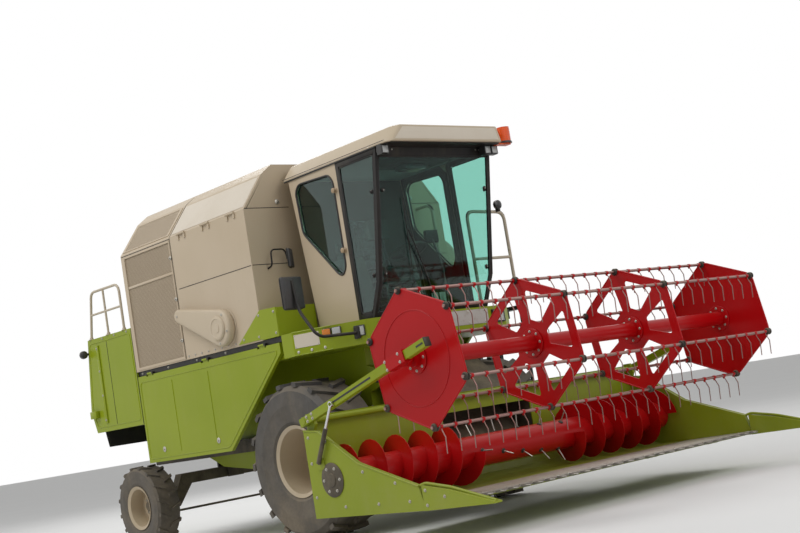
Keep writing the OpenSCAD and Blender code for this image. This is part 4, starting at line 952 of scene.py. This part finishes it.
def makeShellTrim():
    lock = [(0.026, 0), (0.028, 0.006), (0.022, 0.012), (0.012, 0.014), (0.012, 0.022), (0.004, 0.023)]
    for side, name in ((-1, "Right"), (1, "Left")):
        facing, wall = Vector((0, side * 0.787, 0.617)), side * shellWall
        plate, outer = [[bevelPoint(x, t, side, 0.0006) for x, t in rectangle(*ends, 0.07, 0.93)]
            for ends in ((-1.835, -0.375), (-2.955, -1.9))]
        lid = "lid_" + name.lower()
        sheet("lidPlate" + name, plate, facing * 0.003, 0.0015, "body_cream", "paleCream", lid)
        middle = sum(outer, Vector()) / 4
        inner = [c + (middle - c).normalized() * 0.045 for c in outer]
        settle(rimPanel("hoodScreenFrame" + name, outer, inner, facing * 0.008), "body_cream")
        sheet("hoodScreen" + name, inner, facing * 0.004, 0.001, "screen_bronze")
        # sheet joints of the tank and the hood
        knee = (-1.857, side * 1.11, 3.84)
        seams("shellSeams" + name, [((-1.857, wall, 2.08), (-1.857, wall, 3.468)),
            ((-1.857, wall, 3.47), knee), (knee, (-1.857, side * 0.96, 3.9405)),
            ((-1.8, wall, 2.87), (-0.362, wall, 2.87)),
            ((-2.975, wall, 3.455), (-1.865, wall, 3.455))])
        seams("tankFrontSeams" + name, [((-0.3495, side * inside, z), (-0.3495, side * 1.39, z))
            for inside, z in ((0.81, 3.475), (0.92, 2.87))])
        knobs("tankLock" + name, lock, [spot(-0.35, side * 0.956, 3.535)], (1, 0, 0), *zinced)
        bolts("tankBolts" + name, rowOf((-1.8, wall, 2.11), (-0.85, wall, 2.11), 8), (0, side, 0), 0.009)
        covers = ((-0.68, 2.13), (-0.36, 2.34), (-0.09, 2.34), (-0.09, 2.12), (-0.4, 2.12))
        bolts("coverBolts" + name, atWall(side * 1.408, covers), (0, side, 0))
        strip = [(x, 2.048) for x in (-2.888, -2.3, -1.682, -1.1)]
        bolts("stripBolts" + name, atWall(side * 1.38, strip), (0, side, 0), 0.009)
    # radiator screen: frame, cross bar and turn latches
    rim, bay = rectangle(-2.934, -1.87, 2.088, 3.446), rectangle(-2.9, -1.89, 2.12, 3.42)
    screen = rimPanel("screenFrame", atWall(-shellWall, rim), atWall(-shellWall, bay), (0, -0.007, 0))
    settle(screen, "body_cream")
    slab("screenBar", (-2.898, -1.404, 3.056), (-1.892, -1.393, 3.084), 0.004, "body_cream")
    latch = [(0.02, 0), (0.022, 0.005), (0.014, 0.009), (0.009, 0.01), (0.009, 0.02), (0.003, 0.021)]
    places = atWall(-1.407, [(-1.881, z) for z in (2.3, 2.77, 3.24)])
    knobs("screenLatches", latch, places, (0, -1, 0), *zinced)
    # louvres on the other wall
    section = ((1.4, 2.3), (1.424, 2.286), (1.426, 2.29), (1.4, 2.336))
    blade = panel("blade", atFront(-2.85, section), (0.85, 0, 0), 0.002)
    settle(copies(blade, [(0, 0, 0.072 * k) for k in range(15)], "hoodLouvres"), "body_cream")
    rim, bay = rectangle(-2.89, -1.96, 2.262, 3.372), rectangle(-2.862, -1.988, 2.288, 3.346)
    louvres = rimPanel("louvreFrame", atWall(shellWall, rim), atWall(shellWall, bay), (0, 0.01, 0))
    settle(louvres, "body_cream")
    # joint and bolts along the ridge
    for side, name in bothSides:
        body, y = "lid_" + name, side * 0.06
        ridge = ((-1.84, side * 0.018, 3.941), (-0.36, side * 0.018, 3.941))
        seams(name + "RidgeSeam", [ridge], 0.0035, body)
        bolts(name + "LidBolts", rowOf((-1.75, y, 3.937), (-0.45, y, 3.937), 6), upward, 0.007, body)


def makeDriveCover():
    # moulded cover of the clean-grain drive: two round ends joined by their tangents
    cover = {"big": (-1, 2.31, 0.2), "small": (-1.78, 2.56, 0.078), "deep": 0.097, "lip": 0.014,
        "round": 0.034, "face": -1.496}
    (ax, az, ar), (bx, bz, br) = cover["big"], cover["small"]
    axis = math.atan2(bz - az, bx - ax)
    tilt = math.acos((ar - br) / math.hypot(bx - ax, bz - az))

    def outline(extra, y):
        turn = fullTurn - 2 * tilt
        big = [spot(ax, y, az) + around(axis + tilt + turn * k / 16) * (ar + extra) for k in range(17)]
        return big + [spot(bx, y, bz) + around(axis - tilt + tilt * k / 4) * (br + extra) for k in range(9)]

    shell = panel("driveCoverShell", outline(0, -shellWall), (0, -cover["deep"], 0), cover["round"], 5)
    settle(shell, *moulded, angle=50)
    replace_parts(shell, "drive_cover")
    sheet("driveCoverLip", outline(cover["lip"], -1.4005), (0, -0.006, 0), 0.002, *moulded)
    hub = [(0.132, 0), (0.132, 0.01), (0.122, 0.024), (0.104, 0.028), (0.098, 0.022), (0.05, 0.02),
        (0.046, 0.026), (0.012, 0.027)]
    middle = spot(ax, cover["face"], az)
    knobs("driveCoverHub", hub, [middle], (0, -1, 0), *moulded, sides=40)
    ends = [middle + 0.165 * around(a) for a in (axis + 1.9, axis - 1.9, axis + math.pi)]
    bolts("driveCoverBolts", ends + [spot(bx, cover["face"], bz)], (0, -1, 0))


def onRear(y, z):
    # a place on the straw hood's sloping back
    return spot(-4.07 - 0.15 * (2.61 - z) / 0.88, y, z)


def makeLowerBody():
    ridge = {"thick": 0.006, "bend": 0.05}
    lip = [(-2.935, 1.045), (-2.935, 1.945), (-0.15, 1.945), (-0.15, 1.905), (-0.585, 1.565), (-1.25, 1.045)]
    hoodLip = [(-3.03, 1.52), (-3.03, 2.555), (-4.035, 2.555), (-4.165, 1.745), (-4.09, 1.52)]
    handle = [(0.03, 0), (0.032, 0.004), (0.026, 0.008), (0.01, 0.009), (0.01, 0.018), (0.003, 0.019)]
    for side, name in bothSides:
        wall, body, outward = side * shellWall, "panel_" + name, (0, side, 0)
        greenRidge = (ridge["bend"], ridge["thick"], "body_green", "body_green")
        sealRing(name + "PanelRidge", atWall(wall, lip), *greenRidge, body)
        ribs = [rod("rib", spot(x, wall, 1.09), spot(x, wall, 1.9), ridge["thick"], 10)
            for x in (-2.24, -1.48)]
        settle(joined(ribs, name + "PanelRibs"), "body_green", body=body)
        places = atWall(wall, ((-2.6, 1.135), (-1.45, 1.135)))
        knobs(name + "PanelLatches", handle, places, outward, *zinced, body)
        # platform faces: plate with its rivets, edge strips and bolts
        start, along = Vector((0.15, wall)), Vector((0.8944, -side * 0.4472))
        out = Vector((0.4472, side * 0.8944, 0))

        def onFace(far, z, proud=0.0):
            return spot(*(start + along * far), z) + out * proud

        if side < 0:
            corners = [onFace(s, z) for s, z in rectangle(0.02, 0.3, 1.915, 2.05)]
            sheet("facePlate", corners, out * 0.003, 0.001, "body_green", "paleCream")
            places = [onFace(s, z, 0.003) for s in (0.032, 0.288) for z in (1.927, 2.038)]
            rivet = [(0.006, 0), (0.006, 0.002), (0.002, 0.003)]
            knobs("facePlateRivets", rivet, places, out, *zinced, sides=10)
        edges = [rod("edge", onFace(0.004, z), onFace(0.44, z), thick, 10)
            for z, thick in ((2.076, 0.008), (1.846, 0.006))]
        settle(joined(edges, name + "FaceEdges"), "body_green")
        bolts(name + "PlatformBolts", [onFace(s, 1.875) for s in (0.05, 0.2, 0.35)], out)
        # straw hood: pressed frame, hinge posts and bolts
        sealRing(name + "HoodRidge", atWall(wall, hoodLip), *greenRidge)
        seams(name + "HoodSeams", [((x, wall, low), (x, wall, high))
            for x, low, high in ((-2.99, 1.47, 2.605), (-3.61, 1.53, 2.545))])
        posts = [block("post", spot(x0, wall, low), spot(x1, wall + side * deep, high), rounding)
            for x0, x1, deep, low, high, rounding in ((-3.87, -3.815, 0.016, 1.56, 2.52, 0.005),
                (-4.165, -4.015, 0.055, 1.64, 1.73, 0.008))]
        settle(joined(posts, name + "HoodPosts"), "body_green")
        places = atWall(wall + side * 0.016, [(-3.842, z) for z in (1.6, 1.9, 2.2, 2.48)])
        places += atWall(wall, [(x, 2.585) for x in (-3.1, -3.4, -3.7)])
        bolts(name + "HoodBolts", places, outward)
        # round rear lamp on its stalk, tail lamp and reflector
        stalk = block("stalk", spot(-4.105, wall, 2.43), spot(-4.08, wall + side * 0.075, 2.46), 0.003)
        cup = [(0.03, 0), (0.048, 0.012), (0.05, 0.05), (0.046, 0.056)]
        cup = turned("cup", cup, spot(-4.085, side * 1.455, 2.445), (-1, 0, 0), 28)
        settle(joined([stalk, cup], name + "RearLampCup"), "lamp_housing")
        knobs(name + "RearLampLens", [(0.043, 0), (0.042, 0.006), (0.034, 0.012), (0.008, 0.016)],
            [spot(-4.14, side * 1.455, 2.445)], (-1, 0, 0), "lamp_housing", "redLens", sides=28)
        rear = Vector((-0.986, 0, 0.168))
        for low, high, finish, part in ((1.86, 1.96, "redLens", "Stop"), (1.975, 2.035, "amberLens", "Turn")):
            corners = [onRear(y, z) for y, z in rectangle(side * 1.2, side * 1.34, low, high)]
            label = name + part
            baseAndLens(label + "Base", label + "Lens", corners, rear, 0.014, 0.012, 0.009, 0.004, finish)
        corners = [onRear(y, z) for y, z in rectangle(side * 1.215, side * 1.325, 1.77, 1.83)]
        sheet(name + "Reflector", corners, rear * 0.006, 0.002, "lamp_housing", "redLens")
    flap = spots((-4.128, -1.3, 1.475), (-4.128, 1.3, 1.475), (-4.09, 1.29, 1.27), (-4.09, -1.29, 1.27))
    sheet("hoodFlap", flap, (0.008, 0, 0), 0.003, *sealed)
    slab("flapStrap", (-4.136, -1.31, 1.462), (-4.126, 1.31, 1.492), 0.003, "bare_steel")
    bolts("flapBolts", rowOf((-4.136, -1.25, 1.477), (-4.136, 1.25, 1.477), 12), (-1, 0, 0), 0.009)
    sheet("nosePlate", atFront(0.9, rectangle(-0.65, 0.65, 1.905, 2.06)), (0.004, 0, 0), 0.002, "bare_steel")
    places = [place for z in (1.925, 2.04) for place in rowOf((0.904, -0.6, z), (0.904, 0.6, z), 6)]
    bolts("nosePlateBolts", places, (1, 0, 0), 0.008)


def makeRails():
    # beige sleeves over the guard and grab rails, feet and the ladder's treads
    guard = atFront(0.72, ((0.76, 2.082), (0.76, 3.15), (1.33, 3.13), (1.33, 2.082)))
    tube("guardRail", guard, 0.019, 0.105, *beige)
    tube("guardMidRail", atFront(0.72, ((0.76, 2.62), (1.33, 2.62))), 0.0165, 0.05, *beige)
    tube("grabRail", atWall(1.03, ((-0.349, 3.405), (-0.09, 3.405), (-0.09, 2.082))), 0.019, 0.105, *beige)
    foot = [(0.038, 0), (0.038, 0.006), (0.024, 0.008), (0.021, 0.03), (0.017, 0.031)]
    knobs("railFeet", foot, atHeight(2.081, ((0.72, 0.76), (0.72, 1.33), (-0.09, 1.03))), upward, *beige)
    cup = [(0.03, 0), (0.05, 0.012), (0.052, 0.045), (0.047, 0.05)]
    knobs("guardLampCup", cup, [spot(0.795, 1.215, 3.205)], (-1, 0, 0), "lamp_housing", sides=28)
    face = [(0.044, 0), (0.043, 0.005), (0.03, 0.012), (0.006, 0.014)]
    middle = spot(0.747, 1.215, 3.205)
    knobs("guardLampLens", face, [middle], (-1, 0, 0), "lamp_housing", "clearLens", sides=28)
    slab("guardLampStalk", (0.735, 1.2, 3.13), (0.785, 1.23, 3.165), 0.003, "chassis_black")
    tube("rearMidRail", atWall(-1.38, ((-3.925, 2.905), (-3.17, 2.905))), 0.0135, 0.05, *beige)
    tube("rearOuterRail", atWall(-1.38, ((-3.56, 2.61), (-3.56, 3.165))), 0.0135, 0.05, *beige)
    knobs("rearRailFeet", foot, atWall(-1.38, [(x, 2.6105) for x in (-3.997, -3.56, -3.17)]), upward, *beige)
    tread = []
    for z in (0.52, 0.83, 1.14, 1.45, 1.76):
        tread.append(block("tread", spot(0.139, 1.502, z + 0.0295), spot(0.541, 1.648, z + 0.033), 0.001))
        tread += [block("ridge", spot(0.15, y, z + 0.032), spot(0.53, y + 0.006, z + 0.037), 0.001)
            for y in (1.515, 1.54, 1.565, 1.59, 1.615, 1.638)]
    settle(joined(tread, "ladderTreads"), "bare_steel")
    decks = ((-0.02, 1.404, 1.456, 24), (0.11, 1.466, 1.534, 16))
    rows = [(start + 0.03 * k, y0, y1) for start, y0, y1, count in decks for k in range(count)]
    ridges = [block("ridge", spot(x, y0, 2.0795), spot(x + 0.006, y1, 2.084), 0.001) for x, y0, y1 in rows]
    settle(joined(ridges, "deckRidges"), "bare_steel")


def makeWheelTrim():
    # hub cap profiles, and per axle its place, the wheel's face, the bolts and the cap
    frontCap = [(0.096, 0), (0.096, 0.02), (0.088, 0.034), (0.05, 0.046), (0.01, 0.049)]
    rearCap = [(0.064, 0), (0.064, 0.022), (0.056, 0.036), (0.03, 0.042), (0.006, 0.043)]
    valve = [(0.009, 0), (0.009, 0.02), (0.006, 0.022), (0.006, 0.05), (0.008, 0.052), (0.007, 0.064),
        (0.003, 0.065)]
    for side, name in bothSides:
        body, outward, hub = "front_wheel_" + name, (0, side, 0), spot(0, side * 1.126, 0.8)
        bolts(name + "FrontWheelBolts", ringOf(hub, 0.14, 10), outward, 0.015, body)
        knobs(name + "FrontHub", frontCap, [hub], outward, "chassis_black", body=body, sides=32)
        screws = ringOf(spot(0, side * 1.16, 0.8), 0.068, 6, 15)
        bolts(name + "FrontHubScrews", screws, outward, 0.006, body)
        knobs(name + "FrontValve", valve, [spot(0.29, side * 1.085, 0.87)], (-0.3, side, 0), "tyre_rubber",
            body=body, sides=12)
        body, hub = "rear_wheel_" + name, spot(-3.45, side * 1.197, 0.49)
        bolts(name + "RearWheelBolts", ringOf(hub, 0.098, 8), outward, 0.012, body)
        knobs(name + "RearHub", rearCap, [hub], outward, "chassis_black", body=body, sides=28)


def makeUnloaderTrim():
    pivotX, lineY, height = -0.65, 1.64, 3.0  # the elbow's upright axis and the folded tube's axis
    flange = [(0.15, 0), (0.192, 0.0005), (0.194, 0.004), (0.194, 0.016), (0.19, 0.019), (0.15, 0.0195)]
    for z, body, name in ((2.661, "chassis", "lower"), (2.681, "unloader", "upper")):
        knobs(name + "Flange", flange, [spot(pivotX, lineY, z)], upward, "body_cream", body=body, sides=40)
    bolts("flangeBolts", ringOf(spot(pivotX, lineY, 2.7005), 0.172, 10, flat=True), upward, 0.009, "unloader")
    band = [(0.151, 0), (0.155, 0.001), (0.156, 0.02), (0.155, 0.039), (0.151, 0.04)]
    places = [spot(x, lineY, height) for x in (-1.1, -2.1, -3.1)]
    knobs("tubeBands", band, places, (-1, 0, 0), "body_cream", body="unloader", sides=40)
    boot = [(0.151, 0), (0.158, 0.004), (0.16, 0.06), (0.168, 0.07), (0.16, 0.08), (0.158, 0.118),
        (0.15, 0.12), (0.148, 0.03), (0.03, 0.028)]
    knobs("spoutBoot", boot, [spot(-3.985, lineY, height)], (-1, 0, 0), *sealed, "unloader", 40)
    arm = block("arm", spot(-2.93, 1.395, 2.78), spot(-2.89, 1.6, 2.822), 0.006)
    arc = [(math.cos(a), math.sin(a)) for a in [math.radians(200 + 14 * k) for k in range(11)]]
    rest = pipe("rest", atFront(-2.91, [(lineY + 0.17 * c, height + 0.17 * s) for c, s in arc]), 0.014)
    settle(joined([arm, rest], "tubeCradle"), "chassis_black")
    stack = roundedRoute(atWall(0.7, ((-3.06, 3.2), (-3.16, 3.2), (-3.16, 3.56), (-3.23, 3.64))), 0.07, 6)
    wire("exhaustStack", stack, 0.05, "chassis_black", "engine_grey", sides=6)


makeShellTrim()
makeDriveCover()
makeLowerBody()
makeRails()
makeWheelTrim()
makeUnloaderTrim()
print("body, rails and wheels done")


def flight(label, inner, outer, pitch, turns, hand):
    # one ribbon of auger flighting, wound upwards round Z from the origin
    freshStart()
    bpy.ops.mesh.primitive_plane_add(size=outer - inner, location=((inner + outer) / 2, 0, 0))
    piece = named(label)
    bpy.ops.object.mode_set(mode="EDIT")
    bpy.ops.mesh.select_all(action="DESELECT")
    bpy.ops.object.mode_set(mode="OBJECT")
    for corner in piece.data.vertices:
        corner.select = corner.co.y > 0
    bpy.ops.object.mode_set(mode="EDIT")
    bpy.ops.mesh.delete(type="VERT")
    bpy.ops.object.mode_set(mode="OBJECT")
    for corner in piece.data.vertices:
        corner.co.y = 0
    applied(piece, "SCREW", axis="Z", angle=fullTurn * hand, screw_offset=pitch, iterations=turns, steps=26,
        render_steps=26)
    applied(piece, "SOLIDIFY", thickness=0.006, offset=0)
    bpy.ops.object.mode_set(mode="EDIT")
    closeUp()
    return piece


def makeAuger():
    auger = {"x": 1.625, "z": 0.64, "tube": 0.15, "reach": 0.294, "half": 2.235, "end": 2.2495, "pitch": 0.3,
        "turns": 5}
    half, end, x, z = auger["half"], auger["end"], auger["x"], auger["z"]
    profile = [(0.04, 0), (0.04, end - half), (0.146, end - half + 0.001), (0.15, end - half + 0.004),
        (0.15, end + half - 0.004), (0.146, end + half - 0.001), (0.04, end + half), (0.04, 2 * end)]
    barrel = knobs("augerBarrel", profile, [spot(x, -end, z)], across, "reel_red", body="intake_auger",
        sides=48)
    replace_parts(barrel, "header_auger")
    for side, name in bothSides:
        ribbon = flight(name + "Flight", auger["tube"] - 0.002, auger["reach"], auger["pitch"],
            auger["turns"], side)
        turn = Matrix.Rotation(math.radians(-90 * side), 4, "X")
        ribbon.matrix_world = Matrix.Translation(spot(x, side * 0.7, z)) @ turn
        settle(ribbon, "reel_red", body="intake_auger")
    # feed fingers through their guides, between the two flights
    guide = [(0.026, 0), (0.026, 0.006), (0.018, 0.012), (0.012, 0.013)]
    fingers, guides = [], []
    for k in range(14):
        foot, way = spot(x, -0.6 + 1.2 * k / 13, z), around(math.radians(115 * k))
        fingers.append(rod("finger", foot + way * 0.145, foot + way * 0.285, 0.0075, 10, 0.006))
        guides.append(turned("guide", guide, foot + way * 0.148, way, 14))
    settle(joined(fingers, "augerFingers"), "bare_steel", body="intake_auger")
    settle(joined(guides, "fingerGuides"), "trim_black", body="intake_auger")


reel = {"x": 2.75, "z": 1.54, "r": 0.588, "rim": 0.589, "plates": (-2.1, -0.7, 0.7, 2.1), "turn": 98.5,
    "tines": 26, "firstTine": -2.04, "pitch": 0.1632}


def makeReelTrim():
    def axisAt(y):
        return spot(reel["x"], y, reel["z"])

    def atCorner(k, y, radius, off=0):
        return axisAt(y) + radius * around(math.radians(reel["turn"] - 60 * k + off))

    sleeve = rod("sleeve", (0, -0.014, 0), (0, 0.014, 0), 0.0185, 10)
    clip = joined([sleeve, block("foot", (-0.008, -0.008, -0.03), (0.008, 0.008, -0.012), 0.002)], "clip")
    tines = [reel["firstTine"] + reel["pitch"] * n for n in range(reel["tines"])]
    places = [atCorner(k, y, reel["r"]) for k in range(6) for y in tines]
    settle(copies(clip, places, "tineClips"), "reel_red", body="reel")
    collar = [(0.02, 0), (0.034, 0.001), (0.034, 0.012), (0.027, 0.02), (0.016, 0.021)]
    collar = turned("collar", collar, origin, across, 16)
    places = [Matrix.Translation(atCorner(k, y + off, reel["r"])) @ Matrix.Rotation(turn, 4, "Z")
        for off, turn in ((0.005, 0), (-0.005, math.pi)) for k in range(6) for y in reel["plates"]]
    settle(copies(collar, places, "barBearings"), "chassis_black", body="reel")
    flange = [(0.07, 0), (0.128, 0.001), (0.13, 0.004), (0.13, 0.011), (0.126, 0.014), (0.071, 0.015)]
    for y, name in zip(reel["plates"], ("rightEnd", "rightSpider", "leftSpider", "leftEnd")):
        rim = [atCorner(k, y, reel["rim"], off) for k in range(6) for off in (4, -4)]
        wire(name + "Rim", roundedRoute(rim, 0.02, 2, True), 0.0085, "reel_red", body="reel", closed=True)
        for face in (-1, 1):
            part = name + ("Inner" if face * y < 0 else "Outer")
            facing, middle = (0, face, 0), axisAt(y + face * 0.005)
            knobs(part + "Flange", flange, [middle], facing, "reel_red", body="reel", sides=36)
            bolts(part + "Bolts", ringOf(axisAt(y + face * 0.02), 0.103, 8), facing, 0.009, "reel")
    # stiffening rings on the end plates
    for side, name in bothSides:
        ring = ringOf(axisAt(side * 2.105), 0.4, 48)
        wire(name + "PlateRing", ring, 0.005, "reel_red", body="reel", closed=True, angle=60)
    # arms: adjuster slots, end caps and the carriages' bolts
    slope = math.radians(14.9)
    along, up = around(slope), Vector((-math.sin(slope), 0, math.cos(slope)))
    for side, name in bothSides:
        def onArm(far, high, y):
            return spot(1.35, side * y, 1.18) + along * far + up * high

        outward = (0, side, 0)
        strips = [panel("slot", [onArm(s, h, 2.3052) for s, h in rectangle(*ends, -0.008, 0.008)],
            (0, side * 0.002, 0), 0.0005) for ends in ((0.45, 1.05), (1.7, 1.79))]
        settle(joined(strips, name + "ArmSlots"), *sealed, "reel_arms")
        face = ((-0.04, 2.2425), (-0.04, 2.3075), (0.04, 2.3075), (0.04, 2.2425))
        corners = [onArm(1.806, h, y) for h, y in face]
        sheet(name + "ArmCap", corners, along * 0.014, 0.004, "trim_black", body="reel_arms", steps=2)
        places = [onArm(s, h, 2.305) for s in (0.06, 0.14) for h in (-0.02, 0.02)]
        bolts(name + "ArmBolts", places, outward, body="reel_arms")
        places = [onArm(s, h, 2.319) for s in (1.3, 1.48) for h in (-0.035, 0.035)]
        bolts(name + "CarriageBolts", places, outward, 0.009, "reel_slides")


def makeTableTrim():
    # knife sections, wear floor, skids, divider rails and bolts
    knife = {"pitch": 0.0762, "top": 0.3522}
    section = atHeight(knife["top"], ((2.796, -0.037), (2.796, 0.037), (2.884, 0.009), (2.884, -0.009)))
    section = panel("section", section, (0, 0, 0.003))
    moves = [(0, knife["pitch"] * k, 0) for k in range(-29, 30)]
    settle(copies(section, moves, "knifeSections"), "bare_steel", body="header")
    slab("knifeBack", (2.792, -2.225, 0.352), (2.806, 2.225, 0.3575), 0.001, "bare_steel", body="header")
    places = [spot(2.812, 2 * knife["pitch"] * k, 0.355) for k in range(-14, 15)]
    bolts("knifeBolts", places, upward, 0.007, "header")
    floor = spots((1.96, -2.245, 0.3295), (1.96, 2.245, 0.3295), (2.78, 2.245, 0.3515),
        (2.78, -2.245, 0.3515))
    sheet("wearFloor", floor, (0, 0, 0.0012), 0, "body_green", "wornFloor", "header")
    skid = ((1.42, 0.316), (1.52, 0.288), (2.48, 0.288), (2.6, 0.316))
    wallBolts = ((1.36, 1.03), (1.36, 0.8), (1.36, 0.5), (1.75, 0.4), (2.2, 0.4), (2.6, 0.4), (1.6, 0.98),
        (2.05, 0.68), (2.45, 0.56))
    disc = [(0.15, 0), (0.152, 0.006), (0.14, 0.012), (0.06, 0.014), (0.056, 0.022), (0.01, 0.024)]
    for side, name in bothSides:
        wall, outward, body = side * 2.29, (0, side, 0), "header"
        skids = [panel("skid", atWall(side * y, skid), (0, side * 0.16, 0), 0.004) for y in (0.9, 1.9)]
        settle(joined(skids, name + "Skids"), "chassis_black", body=body)
        rail = atWall(side * 2.27, ((2.74, 0.52), (2.8, 0.534), (3.1, 0.484), (3.585, 0.354)))
        wire(name + "DividerRail", roundedRoute(rail, 0.06), 0.013, "body_green", body=body)
        bolts(name + "WallBolts", atWall(wall, wallBolts), outward, body=body)
        places = atWall(side * 2.31, ((2.83, 0.36), (2.83, 0.48), (3.05, 0.42)))
        bolts(name + "DividerBolts", places, outward, body=body)
        edge = atWall(wall, ((1.305, 1.096), (1.5, 1.076), (2, 0.756), (2.73, 0.516)))
        wire(name + "WallEdge", edge, 0.008, "body_green", body=body, angle=60)
        knobs(name + "AugerBearing", disc, [spot(1.625, wall, 0.64)], outward, "chassis_black", body=body,
            sides=32)
        places = ringOf(spot(1.625, wall + side * 0.012, 0.64), 0.11, 6)
        bolts(name + "AugerBearingBolts", places, outward, body=body)


makeAuger()
makeReelTrim()
makeTableTrim()
print("header and reel done")

cameraSet = {"place": (11.321, -9.442, 1.148), "ahead": (-0.74412878, 0.65977314, 0.10474614),
    "up": (0.18469924, 0.05250752, 0.98139144), "lens": 60.291}


def makeCamera():
    view = bpy.data.cameras.new("photoView")
    view.sensor_width = 36.0
    view.sensor_fit = "HORIZONTAL"
    view.lens = cameraSet["lens"]
    view.clip_end = 400
    eye = bpy.data.objects.new("photoView", view)
    bpy.context.scene.collection.objects.link(eye)
    ahead, up = Vector(cameraSet["ahead"]).normalized(), Vector(cameraSet["up"]).normalized()
    side = ahead.cross(up).normalized()
    turn = Matrix((side, side.cross(ahead), -ahead)).transposed().to_4x4()
    eye.matrix_world = Matrix.Translation(Vector(cameraSet["place"])) @ turn
    bpy.context.scene.camera = eye


# name, place, target, width and power of each area light
lampSet = [
    ("skySoft", (-3.0, -9.0, 13.0), (0.0, 0.0, 1.6), 9.0, 950),
    ("frontSoft", (11.0, 1.0, 9.0), (1.0, 0.0, 1.5), 7.0, 330),
    ("backEdge", (-10.0, 7.0, 10.0), (-1.0, 0.0, 2.5), 6.0, 500),
]
airStrength = 0.42  # plain light from all round, apart from the white that the camera sees


def makeLight():
    for label, place, target, size, power in lampSet:
        light = bpy.data.lights.new(label, "AREA")
        light.shape = "DISK"
        light.size = size
        light.energy = power
        lamp = bpy.data.objects.new(label, light)
        bpy.context.scene.collection.objects.link(lamp)
        way = Vector(target) - Vector(place)
        turn = way.to_track_quat("-Z", "Y").to_matrix().to_4x4()
        lamp.matrix_world = Matrix.Translation(Vector(place)) @ turn
    world = bpy.data.worlds.new("paleStudio")
    bpy.context.scene.world = world
    world.use_nodes = True
    w = Wiring(world.node_tree)
    ray = w.add("LightPath").outputs
    shown = w.sums("MAXIMUM", ray["Is Glossy Ray"], ray["Is Transmission Ray"])
    shown = w.sums("MAXIMUM", ray["Is Camera Ray"], shown)
    strength = w.span(shown, 0.0, 1.0, airStrength, 1.0)
    w.feed(world.node_tree.nodes["Background"], Color=(1, 1, 1, 1), Strength=strength)


def makeFloor():
    freshStart()
    bpy.ops.mesh.primitive_plane_add(size=260, location=(0, 0, -0.001))
    floor = named("studioFloor")
    material, w, shader, at = newMaterial("paleFloor")
    shade = w.mix(w.noise(at, 0.6, 2.0, 0.5), (0.80, 0.80, 0.79, 1), (0.84, 0.84, 0.83, 1))
    w.feed(shader, **{"Base Color": shade, "Roughness": 0.9})
    floor.data.materials.append(material)


makeCamera()
makeLight()
makeFloor()
bpy.context.scene.view_settings.view_transform = "Standard"
print("camera, light and floor done")
